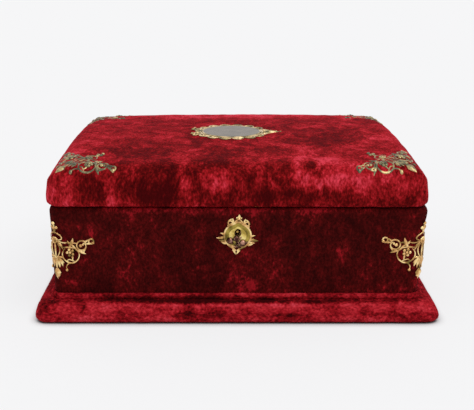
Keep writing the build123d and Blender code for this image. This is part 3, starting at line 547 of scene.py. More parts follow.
def seat(node, past_end):
    """The space of metal that is let into a cover, with a gap round it and past_end over and under it."""
    return block("seat", *grown(*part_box(node), (SEAT_GAP, SEAT_GAP, past_end)))


def leaf_seats(leaves, bottom, top):
    """The spaces of the lower or upper hinge leaves between two heights."""
    spaces = []
    for side in ("left", "right"):
        low, high = grown(*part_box("hinge_leaf_" + leaves + "_" + side), (SEAT_GAP, SEAT_GAP, 0))
        spaces.append(block("seat", (low.x, low.y, bottom), (high.x, high.y, top)))
    return spaces


def lid_cover():
    """Plush stretched over the padded lid and turned under its rails."""
    cover = crumple(lid_form(), *LID_LUMPS)
    low, high = grown(*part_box("lid_lining_pad"), (OPENING_GAP, OPENING_GAP, 0))
    opening = block("opening", (low.x, low.y, lid_low.z - BELOW), (high.x, high.y, RAIL_BOTTOM + MM))
    carve(cover, padding_form(), opening, seat("strike_plate", SEAT_GAP),
          *leaf_seats("upper", lid_low.z - BELOW, RAIL_BOTTOM + SEAT_GAP))
    cover.name = "lid_plush_cover"
    dress(smooth(cover), lid_plush, "lid", ["lid_plush"])


def lid_wadding():
    """Cotton wadding over the lid's board, as full as the cover round it."""
    wadding = padding_form()
    low, high = grown(lid_low, lid_high, (BELOW, BELOW, 0))
    low.z, high.z = RAIL_BOTTOM - BELOW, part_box("lid_board")[0].z
    board_low, board_high = grown(*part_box("lid_board"), (SEAT_GAP, SEAT_GAP, SEAT_GAP))
    carve(wadding, block("rails_space", low, high), block("board_space", board_low, board_high))
    wadding.name = "lid_wadding_cotton"
    dress(smooth(wadding), finishes["wadding"], "lid", ["lid_wadding"])


def stretched(point):
    """Moves a point of the body's cover out to where the plush has filled, above the bead."""
    side = point.x / body_high.x
    middle, top = RIGHT_FULL if side > 0 else LEFT_FULL
    out = middle * ramp(point.z, *FULL_FROM) + top * ramp(point.z, *RIM_FULL_FROM)
    return point + Vector((side * out, 0, 0))


def body_cover():
    """Plush glued round the walls and turned over the rim."""
    cover = upright_block("body_plush_cover", body_low, body_high, BODY_CORNER)
    round_edges(cover, is_level_at(body_high.z), RIM_FOLD, 3)
    crumple(remesh(cover, COVER_VOXEL), *BODY_LUMPS)
    move_points(cover, stretched)
    wood_low, wood_high = grown(body_low, body_high, (-CLOTH, -CLOTH, BELOW))
    wood_high.z = WOOD_RIM
    wood = upright_block("wood_space", wood_low, wood_high, BODY_CORNER - CLOTH)
    low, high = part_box("lining_front")[0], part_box("lining_back")[1]
    opening = block("opening", (low.x, low.y, 0), (high.x, high.y, 2 * body_high.z))
    leaf_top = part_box("hinge_leaf_lower_left")[1].z
    leaves = leaf_seats("lower", WOOD_RIM - SEAT_GAP, leaf_top + BELOW)
    bpy.ops.mesh.primitive_cylinder_add(vertices=24, radius=KEYHOLE[1] + KEY_CLEAR, depth=40 * MM,
                                        location=(0, body_low.y, KEY_HEIGHT),
                                        rotation=(math.radians(90), 0, 0))
    keyhole = settle()
    carve(cover, wood, opening, seat("lock_case", CLOTH), *leaves, keyhole)
    dress(smooth(cover), body_plush, "box", ["body_plush"])


def plinth_cover():
    """Plush over the moulded plinth, turned under its board."""
    cover = upright_block("plinth_plush_cover", plinth_low, plinth_high, PLINTH_CORNER)
    round_edges(cover, is_level_at(plinth_high.z), PLINTH_EDGE)
    round_edges(cover, is_level_at(plinth_low.z), PLINTH_TUCK, 3)
    crumple(remesh(cover, PLINTH_VOXEL), *PLINTH_LUMPS)
    move_points(cover, lambda point: bulge(point, plinth_low, plinth_high, PLINTH_BULGE, PLINTH_BELLY, 2.2))
    move_points(cover, lambda point: Vector((point.x, point.y, max(point.z, 0.0))))
    board_low, board_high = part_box("base_board")
    paper_low, paper_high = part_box("bottom_paper")
    foot = upright_block("body_foot", (body_low.x, body_low.y, board_high.z - 0.1 * MM),
                         (body_high.x, body_high.y, body_high.z), BODY_CORNER)
    carve(cover, upright_block("board_space", board_low, board_high, PLINTH_CORNER - CLOTH), foot,
          upright_block("paper_space", (paper_low.x, paper_low.y, -BELOW),
                        (paper_high.x, paper_high.y, board_low.z + MM), PLINTH_CORNER))
    dress(smooth(cover), foot_plush, "box", ["plinth_plush"])


def foot_bead():
    """The covered bead that hides the joint between the body and the plinth."""
    low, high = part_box("foot_bead_front")[0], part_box("foot_bead_back")[1]
    low.x, high.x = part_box("foot_bead_left")[0].x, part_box("foot_bead_right")[1].x
    high.z += BEAD_FULL
    bead = upright_block("foot_bead_cover", low, high, BODY_CORNER + body_low.x - low.x)
    round_edges(bead, is_level_at(high.z), BEAD_ROUND, 4)
    inner_low, inner_high = grown(body_low, body_high, (0, 0, BELOW))
    carve(bead, upright_block("inside", inner_low, inner_high, BODY_CORNER))
    crumple(remesh(bead, BEAD_VOXEL), *BEAD_LUMPS)
    dress(smooth(bead), foot_plush, "box", ["foot_bead_" + side for side in SIDES])


# Satin inside

PAD_VOXEL = 2.6 * MM
WALL_VOXEL = 1.3 * MM
PAD_CORNER = 4 * MM
PAD_PUCKERS = (24 * MM, 0.5 * MM, 1)    # size, height and detail of the cloth's puckers
WALL_PUCKERS = (18 * MM, 0.5 * MM, 1)
PAD_PRESSURE = 3.0
FLOOR_PAD = (2.2 * MM, 2.4 * MM, 3 * MM)    # edge rounding, crown and furthest that the cloth blows up
LID_PAD = (5.0 * MM, 3.0 * MM, 5 * MM)


def puff(piece, pressure, cap, held, frames=20):
    """Blows a pad up under its cloth. No point moves further than cap, and held points stay."""
    start = [vertex.co.copy() for vertex in piece.data.vertices]
    select(piece)
    cloth = piece.modifiers.new("cloth", "CLOTH")
    cloth.settings.use_pressure = True
    cloth.settings.uniform_pressure_force = pressure
    cloth.settings.effector_weights.gravity = 0
    cloth.settings.quality = 4
    for step in range(1, frames + 1):
        bpy.context.scene.frame_set(step)
    blown = piece.evaluated_get(bpy.context.evaluated_depsgraph_get()).data
    moves = [point.co - begin for point, begin in zip(blown.vertices, start)]
    piece.modifiers.remove(cloth)
    bpy.context.scene.frame_set(1)
    for vertex, begin, move in zip(piece.data.vertices, start, moves):
        far = move.length
        limited = move * (cap / far) if far > cap else move
        vertex.co = begin if held(begin) else begin + limited
    piece.data.update()
    return piece


def satin_pad(name, node, body, face, edge, crown, cap):
    """A padded satin board. Its face at +Z or -Z is crowned and blown; its back stays flat."""
    low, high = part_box(node)
    back, front = (low.z, high.z) if face > 0 else (high.z, low.z)
    pad = upright_block(name, low, high, PAD_CORNER)
    round_edges(pad, is_level_at(front), edge, 4)
    remesh(pad, PAD_VOXEL)
    middle = (low + high) / 2
    half = (high - low) / 2

    def crowned(point):
        share = (point.z - back) / (front - back)
        side = (1 - ((point.x - middle.x) / half.x) ** 6) * (1 - ((point.y - middle.y) / half.y) ** 6)
        return Vector((point.x, point.y, point.z - face * crown * share * (1 - max(0.0, side))))

    move_points(pad, crowned)
    puff(pad, PAD_PRESSURE, cap, lambda point: abs(point.z - back) < PAD_VOXEL)
    crumple(pad, *PAD_PUCKERS)
    modify(pad, "SMOOTH", factor=0.5, iterations=2)
    dress(smooth(pad, 60), finishes["satin"], body, [node])


def satin_wall(side):
    """Satin over card on one wall, with the slight puckers of cloth pulled over an edge."""
    node = "lining_" + side
    low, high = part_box(node)
    thickness = min(high.x - low.x, high.y - low.y)
    panel = round_edges(block("satin_" + node, low, high), is_level_at(high.z), thickness / 3, 3)
    crumple(remesh(panel, WALL_VOXEL), *WALL_PUCKERS)
    dress(smooth(panel, 60), finishes["satin"], "box", [node])


# Stamped ornament, drawn flat in millimetres: x across, y along the ornament, z off the cloth

RELIEF = 0.6                # height of a raised line as a share of its width
SHEET_LIFT = 0.3            # middle of the metal above the cloth


def flatten(piece, relief, lift=SHEET_LIFT):
    """Presses a round form down to stamped relief."""
    return move_points(piece, lambda point: Vector((point.x, point.y, point.z * relief + lift)))


def drawn_curve(points, widths, closed, steps, relief, **settings):
    """A smooth curve through the points, given body by its settings and pressed to its relief."""
    bpy.ops.curve.primitive_bezier_curve_add()
    curve = bpy.context.object
    for key, value in settings.items():
        setattr(curve.data, key, value)
    curve.data.splines.clear()
    line = curve.data.splines.new("BEZIER")
    line.bezier_points.add(len(points) - 1)
    for knot, (x, y), width in zip(line.bezier_points, points, widths):
        knot.co = (x, y, 0)
        knot.radius = width
        knot.handle_left_type = knot.handle_right_type = "AUTO"
    line.use_cyclic_u = closed
    line.resolution_u = steps
    select(curve)
    bpy.ops.object.convert(target="MESH")
    return flatten(settle(), relief)


def stroke(points, widths, relief=RELIEF, closed=False):
    """A raised, tapering line through the points, with a half width at each."""
    return drawn_curve(points, widths, closed, 5, relief, bevel_depth=1, bevel_resolution=2,
                       use_fill_caps=True)


def flat_plate(outline, thickness, edge=0.15):
    """A flat sheet cut to a smooth outline."""
    return drawn_curve(outline, [1.0] * len(outline), True, 12, 1.0, dimensions="2D", fill_mode="BOTH",
                       extrude=thickness / 2, bevel_depth=edge, bevel_resolution=1)


def ring(x, y, radius, width, relief=RELIEF, squeeze=1.0):
    """A raised ring; squeeze makes it an oval."""
    bpy.ops.mesh.primitive_torus_add(location=(x, y, 0), major_radius=radius, minor_radius=width,
                                     major_segments=26, minor_segments=8)
    piece = bpy.context.object
    piece.scale = (1.0, squeeze, 1.0)
    return flatten(settle(piece), relief)


def boss(x, y, radius, height):
    """A small dome."""
    bpy.ops.mesh.primitive_uv_sphere_add(segments=14, ring_count=8, radius=radius, location=(x, y, 0))
    return flatten(settle(), height / radius)


def rosette(x, y, radius, petals=6):
    """Petals round a raised eye."""
    parts = [boss(x, y, radius * 0.36, radius * 0.42)]
    for petal in range(petals):
        turn = math.tau * (petal + 0.5) / petals
        parts.append(boss(x + 0.6 * radius * math.cos(turn), y + 0.6 * radius * math.sin(turn),
                          radius * 0.38, radius * 0.3))
    return parts


def leaf(start, end, width, bow=0.0):
    """A leaf from start to end, widest a third of the way, bowed to the left by bow."""
    along = Vector(end) - Vector(start)
    left = Vector((-along.y, along.x)).normalized()
    belly = Vector(start) + along * 0.36 + left * bow
    neck = Vector(start) + along * 0.72 + left * bow * 0.7
    return stroke([start, belly, neck, end], [width * 0.35, width, width * 0.6, 0.12], 0.5)


def both_sides(parts):
    """A half ornament and its mirror image across the Y axis."""
    half = join("half", parts)
    return modify(half, "MIRROR", use_axis=(True, False, False), use_clip=False, use_mirror_merge=False)


def scroll_wing():
    """One wing of a corner mount: two scroll rings, a fleur between them and a looped tip."""
    return [
        ring(28.9, 6.8, 1.9, 0.68),
        boss(30.3, 5.6, 1.3, 0.9),
        leaf((25.0, 4.9), (28.6, 4.6), 0.9),
        leaf((23.4, 5.6), (27.6, 8.4), 0.8),
        stroke([(24.9, 4.0), (23.9, 6.3), (21.4, 7.0), (18.6, 5.9), (17.4, 3.4), (18.4, 0.7), (21.0, -0.4),
                (23.6, 0.6), (24.7, 2.6), (23.8, 4.6), (22.3, 5.1)],
               [0.43, 0.6, 0.65, 0.65, 0.65, 0.65, 0.65, 0.6, 0.56, 0.52, 0.43]),
        boss(20.4, 3.0, 1.5, 1.1),
        boss(22.2, 3.9, 1.1, 1.0),
        leaf((19.6, -0.6), (24.6, -3.4), 1.2, -0.5),
        leaf((24.8, 1.4), (22.6, -3.4), 0.9, -0.6),
        stroke([(23.0, -2.6), (19.6, -1.6), (16.6, 0.2), (14.8, 2.4), (12.8, 3.6)],
               [0.34, 0.77, 0.95, 0.77, 0.43]),
        stroke([(18.0, 4.6), (15.6, 5.0), (13.0, 4.8)], [0.34, 0.52, 0.43]),
        leaf((12.0, 2.4), (14.5, 8.9), 1.5, -0.4),
        leaf((12.4, 3.6), (10.0, 6.9), 0.9, 0.2),
        leaf((12.2, 4.0), (11.8, 0.8), 1.0),
        stroke([(12.0, 4.7), (9.8, 5.2), (8.2, 5.0), (5.4, 5.4), (3.0, 6.2)], [0.43, 0.39, 0.65, 0.39, 0.43]),
        stroke([(8.0, 0.6), (5.8, -2.6), (6.0, -6.6), (8.4, -9.6), (12.0, -11.0), (15.8, -9.8),
                (18.6, -6.6), (19.0, -3.0), (17.4, -0.2)],
               [0.34, 0.56, 0.6, 0.65, 0.69, 0.65, 0.6, 0.52, 0.34]),
        stroke([(6.4, 1.4), (9.2, 1.6), (13.2, 1.4), (16.4, 0.6)], [0.34, 0.69, 0.69, 0.52]),
        *rosette(12.0, -2.6, 3.8, 5),
        leaf((13.0, -4.4), (13.4, -9.6), 0.8, 0.3),
        stroke([(8.8, -9.4), (10.6, -8.2), (12.4, -8.6), (14.8, -9.6)], [0.34, 0.52, 0.52, 0.34]),
        leaf((6.6, -7.2), (0.4, -6.6), 0.9, -0.4),
        stroke([(11.6, -10.6), (9.2, -12.2), (8.0, -14.2), (8.3, -16.2)], [0.6, 0.56, 0.43, 0.43]),
        boss(8.3, -16.7, 1.35, 1.1),
        leaf((1.2, -7.0), (2.6, -15.2), 1.5, 0.3),
        leaf((2.2, -7.2), (5.2, -13.8), 1.5, 0.6),
        leaf((3.4, -8.4), (6.3, -11.4), 0.8, 0.3),
        leaf((2.4, 5.4), (6.4, -0.6), 1.1, 0.5),
        stroke([(2.2, 4.4), (3.6, 1.6), (3.4, -2.6), (1.4, -6.2), (0.2, -7.2)],
               [0.43, 0.47, 0.47, 0.43, 0.43]),
        stroke([(3.0, 7.0), (5.6, 8.2), (5.0, 10.4), (2.8, 11.9), (0.4, 13.1)],
               [0.43, 0.52, 0.52, 0.47, 0.43]),
        boss(2.1, 16.8, 1.35, 0.9),
    ]


def corner_mount():
    """A whole corner mount: bead end up, point down, the same on both sides of its axis."""
    axis = [
        *rosette(0.0, 6.8, 3.0, 8),
        stroke([(0.0, 8.6), (0.0, 3.0), (0.0, -3.0), (0.0, -8.0)], [0.4, 0.7, 0.7, 0.4]),
        leaf((0.0, -8.0), (0.0, -17.4), 1.1),
        leaf((0.0, -15.6), (0.0, -24.5), 3.1),
        boss(0.0, -19.6, 1.4, 1.3),
        stroke([(0.0, 12.0), (0.0, 14.9), (0.0, 18.7)], [0.5, 1.2, 0.7]),
        boss(0.0, 16.3, 1.4, 1.2),
        boss(0.0, 20.0, 1.45, 1.3),
    ]
    return join("corner_mount", [both_sides(scroll_wing()), *axis])


def keyhole_border():
    """The outer border of the keyhole plate: pierced ears, side spurs and a pointed foot."""
    parts = [
        ring(6.3, 9.0, 1.6, 0.65),
        stroke([(7.6, 10.4), (6.4, 11.6), (4.6, 12.2)], [0.6, 0.55, 0.3]),
        leaf((4.4, 9.0), (4.9, 12.9), 0.9, 0.3),
        stroke([(8.2, 6.6), (5.4, 8.2), (2.6, 10.2), (0.3, 13.0)], [0.9, 0.8, 0.7, 0.7]),
        leaf((9.4, -2.6), (15.9, -3.6), 1.3, -0.5),
        leaf((9.6, -1.2), (13.2, 0.4), 0.9, 0.3),
        leaf((8.6, -4.8), (13.6, -5.6), 1.0, -0.4),
        leaf((7.0, -7.2), (12.2, -6.4), 1.1, -0.5),
        stroke([(9.6, -5.0), (6.0, -8.6), (2.8, -10.6), (0.4, -12.6)], [0.8, 1.0, 1.0, 0.7]),
        leaf((2.2, -10.2), (0.2, -15.6), 1.2, 0.5),
        stroke([(3.2, -9.8), (6.4, -8.2), (9.2, -5.6)], [0.7, 0.8, 0.5]),
    ]
    middle = [leaf((0.0, 11.6), (0.0, 16.1), 1.6), boss(0.0, 12.6, 1.3, 1.2),
              boss(-1.7, 13.4, 0.8, 0.8), boss(1.7, 13.4, 0.8, 0.8)]
    return [both_sides(parts), *middle]


def pear(inset):
    """Points of the niche's outline, a rounded pear with a low ogee top, drawn in by inset."""
    right = [(3.6, 8.6), (8.0, 5.6), (10.2, 0.6), (9.2, -4.8), (5.2, -8.6)]
    outline = [(0.0, 10.4), *right, (0.0, -9.6), *[(-x, y) for x, y in reversed(right)]]
    return [Vector(point) * (1 - inset / Vector(point).length) for point in outline]


# The keyhole plate, in millimetres
KEY_RISE = 1.7              # keyhole above the middle of the plate
KEY_PLATE_X = 0.2
KEY_PLATE_TILT = math.radians(-4.5)
NICHE_INSET = 3.9
PEAR_POINTS = 12


def eye_space():
    """The space of the keyhole's eye, through any plate."""
    bpy.ops.mesh.primitive_cylinder_add(vertices=32, radius=1.0, depth=20, location=(0, KEY_RISE, 0))
    eye = bpy.context.object
    eye.scale = (KEYHOLE[0] / MM, KEYHOLE[1] / MM, 1)
    return settle(eye)


def place_on_front(piece, lift):
    """Lays a part of the keyhole plate on the front of the body, lift above the cloth."""
    turn = Matrix.Rotation(KEY_PLATE_TILT, 2)

    def placed(point):
        x, y = turn @ Vector((point.x + KEY_PLATE_X, point.y))
        return Vector((x * MM, body_low.y - (point.z + lift) * MM, KEY_HEIGHT + (y - KEY_RISE) * MM))

    return move_points(piece, placed)


def keyhole_plate():
    """The plate, a hollow of painted shade and a niche of painted light round its eye, and the cast spray
    below it.
    """
    def sheet(inset, thickness):
        return carve(flat_plate(pear(inset), thickness), eye_space())

    def band(inset, width, relief):
        return stroke(pear(inset), [width] * PEAR_POINTS, relief, closed=True)

    eye_band = [(0, 3.6), (-2.8, 0.6), (-2.2, -2.6), (2.2, -2.6), (2.8, 0.6)]
    layers = {
        "plate": (gilt, 0.0, [sheet(0.0, 0.6), band(0.2, 0.85, 0.95), *keyhole_border()]),
        "hollow": (shaded_gilt, 0.25, [sheet(1.0, 0.4)]),
        "niche": (lit_niche_gilt, 0.45, [
            sheet(NICHE_INSET, 0.5), band(NICHE_INSET, 0.4, 0.9),
            stroke([(x, KEY_RISE + y) for x, y in eye_band], [0.35] * 5, 0.9, closed=True)]),
        "spray": (bronze, 0.9, [
            boss(-5.4, -4.8, 2.5, 2.2), boss(4.3, -5.6, 2.4, 2.0), boss(-0.7, -2.9, 2.5, 2.2),
            ring(0.5, -6.3, 1.0, 0.5, 1.0), ring(3.0, -7.7, 0.9, 0.45, 1.0),
            leaf((-2.6, -7.4), (-7.8, -2.6), 1.0, 0.6), leaf((2.6, -8.4), (8.2, -4.4), 1.0, -0.6),
            leaf((0.8, -4.6), (3.4, -1.0), 1.0, 0.4), leaf((-1.8, -8.2), (3.6, -9.8), 1.0, -0.4)]),
    }
    for name, (finish, lift, parts) in layers.items():
        piece = place_on_front(join("keyhole_" + name, parts), lift)
        dress(smooth(piece), finish, "box", ["escutcheon"])


# The plaque, in millimetres
PLAQUE_X = -4.0
PLAQUE = (24.0, 22.5)       # half length and half width
PLAQUE_POINTS = 24
PLAQUE_LOBES = 16
# Points of one scroll: share of its half turn, reach past the plaque and half width
LOBE = ((-1.0, 2.4, 0.5), (-0.55, 5.6, 0.85), (0.0, 6.9, 1.0), (0.55, 5.6, 0.85), (1.0, 2.4, 0.5))


def oval(reach):
    """Points of the plaque's outline, moved out by reach."""
    turns = [math.tau * point / PLAQUE_POINTS for point in range(PLAQUE_POINTS)]
    return [round_plaque(turn, reach) for turn in turns]


def round_plaque(turn, reach):
    """The point at one turn round the plaque, moved out by reach."""
    return (PLAQUE[0] + reach) * math.cos(turn), (PLAQUE[1] + reach) * math.sin(turn)


def plaque_border():
    """Gilt border of the plaque: C-scrolls round it, a fork at the left and a finial at the right."""
    parts = [stroke(oval(0.4), [0.8] * PLAQUE_POINTS, 0.9, closed=True),
             stroke(oval(2.2), [0.9] * PLAQUE_POINTS, 0.6, closed=True)]
    step = math.tau / PLAQUE_LOBES / 2
    for lobe in range(PLAQUE_LOBES):
        middle = math.tau * (lobe + 0.5) / PLAQUE_LOBES
        points = [round_plaque(middle + share * step, reach) for share, reach, width in LOBE]
        parts.append(stroke(points, [width for share, reach, width in LOBE]))
        parts.append(boss(*round_plaque(middle, 4.3), 1.1, 0.8))
    end = PLAQUE[0] + 5.5
    parts += [leaf((end - 2, 0), (end + 11.6, 0), 3.2), boss(end + 3.4, 0, 1.9, 1.5),
              boss(end + 8.6, 0, 1.2, 1.1), boss(end + 12.2, 0, 0.9, 0.9)]
    for side in (-1, 1):
        parts += [leaf((end - 2, side * 4.6), (end + 6.6, side * 3.0), 1.7, side * 0.6),
                  stroke([(-end + 3, side * 3.0), (-end + 0.6, side * 4.6), (-end - 1.6, side * 7.4),
                          (-end - 3.2, side * 8.6)], [1.0, 1.5, 1.2, 0.9]),
                  boss(-end - 3.4, side * 8.8, 1.5, 1.3), boss(-end + 0.4, side * 6.4, 1.6, 1.5),
                  leaf((-end + 3.6, side * 8.6), (-end - 1.6, side * 14.0), 1.5, side * -0.6),
                  boss(-end - 2.0, side * 14.2, 1.1, 1.0)]
    return join("plaque_border", parts)


def lay_on_lid(piece, x, y, turn, surface):
    """Turns an ornament, moves its middle to (x, y) and bends it over the padded top."""
    spin = Matrix.Rotation(turn, 2)

    def laid(point):
        flat = spin @ Vector((point.x, point.y)) * MM
        above = Vector((x + flat.x, y + flat.y, 2 * lid_high.z))
        top = surface.ray_cast(above, Vector((0, 0, -1)))[0]
        return Vector((above.x, above.y, top.z + point.z * MM))

    return move_points(piece, laid)


def set_on_lid(piece, x, y, surface):
    """Sets a stiff ornament on the top, level where its middle touches."""
    top = surface.ray_cast(Vector((x, y, 2 * lid_high.z)), Vector((0, 0, -1)))[0].z
    return move_points(piece, lambda point: Vector((x, y, top)) + point * MM)


def fold_round_corner(piece, side_x, side_y, height):
    """Bends a mount round one upright corner of the body."""
    corner = Vector((side_x * (body_high.x - BODY_CORNER), side_y * (body_high.y - BODY_CORNER)))
    diagonal = math.atan2(side_y, side_x)
    arc = BODY_CORNER * math.pi / 4

    def folded(point):
        across = point.x * MM
        bent = max(-arc, min(arc, across))
        turn = diagonal + bent / BODY_CORNER
        out = Vector((math.cos(turn), math.sin(turn)))
        tangent = Vector((-out.y, out.x))
        flat = corner + out * (BODY_CORNER + point.z * MM) + tangent * (across - bent)
        return Vector((flat.x, flat.y, height + point.y * MM))

    return move_points(piece, folded)


# How unevenly the mounts were nailed on by hand, in millimetres and degrees
MOUNT_DRIFT = 3.0           # how far over the front and back shoulders the lid's mounts sit
BODY_MOUNT_TURN = {"front_left": -1.5, "front_right": -1.6, "back_left": 1.0, "back_right": -1.0}
# Along X, along Y and up out of the pile
LID_MOUNT_SHIFT = {"front_left": (0.0, 0.0, -0.3), "front_right": (-2.0, -0.6, -0.3),
                   "back_left": (0.0, 1.0, -0.55), "back_right": (0.0, 1.0, -0.55)}
LEAN = 2.0                  # of the front left mount's axis, at its middle
LEAN_GROWTH = 0.05          # more of it for each millimetre down the axis
LEAN_REACH = 32.0           # how far along the front wing it is felt


def leaned(point):
    """Moves the axis of the front left mount towards the front, most at its foot."""
    felt = 1 - min(1.0, max(0.0, point.x) / LEAN_REACH)
    return point + Vector(((LEAN - LEAN_GROWTH * point.y) * felt, 0, 0))


def all_mounts():
    """Eight mounts from one drawing: four bent round the body's corners, four laid on the lid."""
    drawn = smooth(corner_mount())
    form = lid_form()
    surface = BVHTree.FromObject(form, bpy.context.evaluated_depsgraph_get())
    bpy.data.objects.remove(form)
    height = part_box("body_mounts_front")[0].z + MOUNT_POINT
    reach = MOUNT_SETBACK * math.sin(math.radians(45))
    reach_y = reach - MOUNT_DRIFT * MM
    for end, side_y in (("front", -1), ("back", 1)):
        for hand, side_x in (("left", -1), ("right", 1)):
            place = end + "_" + hand
            piece = copy_of(drawn, "body_mount_" + place)
            piece.data.transform(Matrix.Rotation(math.radians(BODY_MOUNT_TURN[place]), 4, "Z"))
            if place == "front_left":
                move_points(piece, leaned)
            move_points(fold_round_corner(piece, side_x, side_y, height), stretched)
            dress(piece, gilt, "box", ["body_mounts_" + end])
            piece = copy_of(drawn, "lid_mount_" + place)
            outward = math.atan2(side_y, side_x) + math.radians(90)
            shift_x, shift_y, press = (share * MM for share in LID_MOUNT_SHIFT[place])
            lay_on_lid(piece, side_x * (lid_high.x - reach) + shift_x,
                       side_y * (lid_high.y - reach_y) + shift_y, outward, surface)
            piece.data.transform(Matrix.Translation((0, 0, press)))
            dress(piece, tarnished, "lid", ["lid_mounts_" + end])
    bpy.data.objects.remove(drawn)
    border = set_on_lid(plaque_border(), PLAQUE_X * MM, 0, surface)
    dress(smooth(border), worn_gilt, "lid", ["plaque_frame"])
    plate = flat_plate(oval(0.0), 0.9)
    plate.name = "plaque_plate_face"
    set_on_lid(plate, PLAQUE_X * MM, 0, surface)
    dress(smooth(plate), silvered, "lid", ["plaque_plate"])


# Screws

SCREW_RADIUS = 1.7 * MM
SCREW_HEAD = 0.5 * MM
SLOT_HALF = 0.25 * MM
LEAF_SCREW = (5 * MM, 3.5 * MM)    # from the ends and the front of a hinge leaf
PLATE_SCREW_INSET = 3.2 * MM
PLATE_SCREW_Y = -99.0 * MM
SCREW_TURN = 0.9            # radians from one screw's slot to the next


def screw_head():
    """A slotted countersunk head that stands a little proud."""
    bpy.ops.mesh.primitive_cylinder_add(vertices=28, radius=SCREW_RADIUS, depth=SCREW_HEAD,
                                        location=(0, 0, SCREW_HEAD / 2))
    head = round_edges(settle(), is_level_at(SCREW_HEAD), SLOT_HALF, 3)
    slot = block("slot", (-2 * SCREW_RADIUS, -SLOT_HALF, SCREW_HEAD / 3), (2 * SCREW_RADIUS, SLOT_HALF, MM))
    return smooth(carve(head, slot), 30)


def screws():
    """Two screws in each hinge leaf and at each end of the lock's plate and strike."""
    head = screw_head()
    plates = []
    for hand in ("left", "right"):
        plates += [("hinge_leaf_lower_" + hand, "box", WOOD_RIM + LEAF_METAL),
                   ("hinge_leaf_upper_" + hand, "lid", RAIL_BOTTOM - LEAF_METAL)]
    plates += [("lock_case", "box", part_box("lock_case")[1].z),
               ("strike_plate", "lid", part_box("strike_plate")[1].z - CLOTH_PRESSED)]
    number = 0
    for node, body, face in plates:
        low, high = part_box(node)
        slot, ends, inset, y = "lock_brass", ("left", "right"), PLATE_SCREW_INSET, PLATE_SCREW_Y
        if node.startswith("hinge"):
            slot, ends, inset, y = "hinge_brass", ("outer", "inner"), LEAF_SCREW[0], low.y + LEAF_SCREW[1]
        over = Matrix.Rotation(0 if body == "box" else math.pi, 4, "X")
        for end, x in zip(ends, (low.x + inset, high.x - inset)):
            piece = copy_of(head, node + "_screw_" + end)
            turn = Matrix.Rotation(SCREW_TURN * number, 4, "Z")
            piece.data.transform(Matrix.Translation((x, y, face)) @ over @ turn)
            dress(piece, finishes[slot], body)
            number += 1
    bpy.data.objects.remove(head)


# Camera, light and floor

CAMERA_PLACE = Vector((-9.6, -730.3, 277.0)) * MM
CAMERA_TARGET = Vector((1.1, 0.0, 59.0)) * MM
CAMERA_ROLL = math.radians(0.35)
CAMERA_LENS = 66.34
WINDOW_PLACE = Vector((0.45, -0.35, 1.0))
WINDOW_STRENGTH = 0.8
WINDOW_SPREAD = math.radians(36)


def put(name, data, matrix):
    """Puts a camera or a light into the scene."""
    thing = bpy.data.objects.new(name, data)
    bpy.context.scene.collection.objects.link(thing)
    thing.matrix_world = matrix
    return thing


def camera():
    data = bpy.data.cameras.new("camera")
    data.lens = CAMERA_LENS
    data.clip_start = 0.01
    aim = (CAMERA_TARGET - CAMERA_PLACE).to_track_quat("-Z", "Y").to_matrix().to_4x4()
    roll = Matrix.Rotation(CAMERA_ROLL, 4, "Z")
    bpy.context.scene.camera = put("camera", data, Matrix.Translation(CAMERA_PLACE) @ aim @ roll)


def window():
    """A broad, even light from above the front right."""
    data = bpy.data.lights.new("window", "SUN")
    data.energy = WINDOW_STRENGTH
    data.angle = WINDOW_SPREAD
    put("window", data, WINDOW_PLACE.to_track_quat("Z", "Y").to_matrix().to_4x4())


def seen_directly(material):
    """1 where the eye, a reflection or glass looks straight at a surface."""
    path = add(material, "LightPath").outputs
    seen = add(material, "Math", {0: path["Is Camera Ray"], 1: path["Is Glossy Ray"]}, operation="MAXIMUM")
    return add(material, "Math", {0: seen, 1: path["Is Transmission Ray"]}, operation="MAXIMUM")


FLOOR_PALE = "#F5F5F6"
FLOOR_SHADE_REACH = 8 * MM          # how far from the box the painted contact shadow darkens the floor's own colour
FLOOR_EVEN = 0.8            # share of one even tone in what the eye sees; the rest keeps the shadow
ROOM_LIGHT = (0.22, 0.98)   # of the backdrop's tone, from straight below to straight above
BACKDROP = "#F6F6F7"


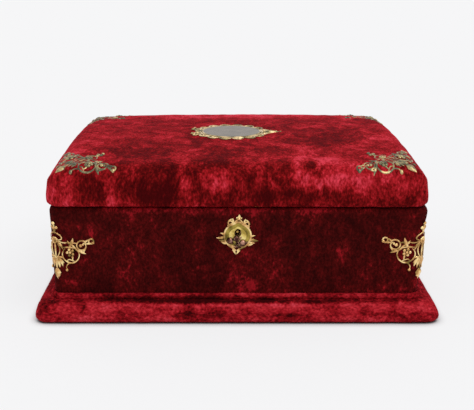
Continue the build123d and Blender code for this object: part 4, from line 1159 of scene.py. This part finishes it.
def stage():
    """A pale floor that keeps the box's shadow, with a painted contact shadow round the box's foot, and a
    pale world round it.
    """
    bpy.ops.mesh.primitive_plane_add(size=12, location=(0, 0, 0))
    floor = bpy.context.object
    floor.name = "floor"
    m = new_material("pale_floor")
    # painted contact shadow: ambient occlusion darkens the floor's colour near the box's foot
    gap = add(m, "AmbientOcclusion", {"Distance": FLOOR_SHADE_REACH, "Color": linear(FLOOR_PALE)}, samples=16)
    paper = add(m, "BsdfDiffuse", {"Color": gap})
    even = add(m, "Emission", {"Color": linear(BACKDROP)})
    clear = add(m, "MapRange", {"Value": gap.outputs["AO"], "From Min": 0.3, "From Max": 0.95,
                                "To Min": 0.0, "To Max": FLOOR_EVEN})
    share = add(m, "Math", {0: seen_directly(m), 1: clear}, operation="MULTIPLY")
    mixed = add(m, "MixShader", {"Fac": share, 1: paper, 2: even})
    add(m, "OutputMaterial", {"Surface": mixed})
    floor.data.materials.append(m)
    world = bpy.data.worlds.new("pale_room")
    world.use_nodes = True
    world.node_tree.nodes.clear()
    way = add(world, "TexCoord").outputs["Generated"]
    height = add(world, "SeparateXYZ", {"Vector": way}).outputs["Z"]
    room = add(world, "MapRange", {"Value": height, "From Min": -1.0, "From Max": 1.0,
                                   "To Min": ROOM_LIGHT[0], "To Max": ROOM_LIGHT[1]})
    mixed = add(world, "Mix", {"Factor": seen_directly(world), "A": room, "B": 1.0})
    back = add(world, "Background", {"Color": linear(BACKDROP), "Strength": mixed})
    add(world, "OutputWorld", {"Surface": back})
    bpy.context.scene.world = world
    bpy.context.scene.view_settings.view_transform = "Standard"


# The box

def finish_frame_nodes():
    """Gives each shown CAD node the finish that the record names for it."""
    slots = {part["node"]: part["material_slot"] for part in frame["record"]["subparts"]}
    for node, piece in frame["nodes"].items():
        material = finishes.get(slots[node], body_plush)
        for place in piece.material_slots:
            place.material = material


camera()
stage()
window()
lid_cover()
lid_wadding()
body_cover()
plinth_cover()
foot_bead()
for side in SIDES:
    satin_wall(side)
satin_pad("satin_floor_pad", "floor_pad", "box", 1, *FLOOR_PAD)
satin_pad("satin_lid_pad", "lid_lining_pad", "lid", -1, *LID_PAD)
all_mounts()
keyhole_plate()
screws()
finish_frame_nodes()
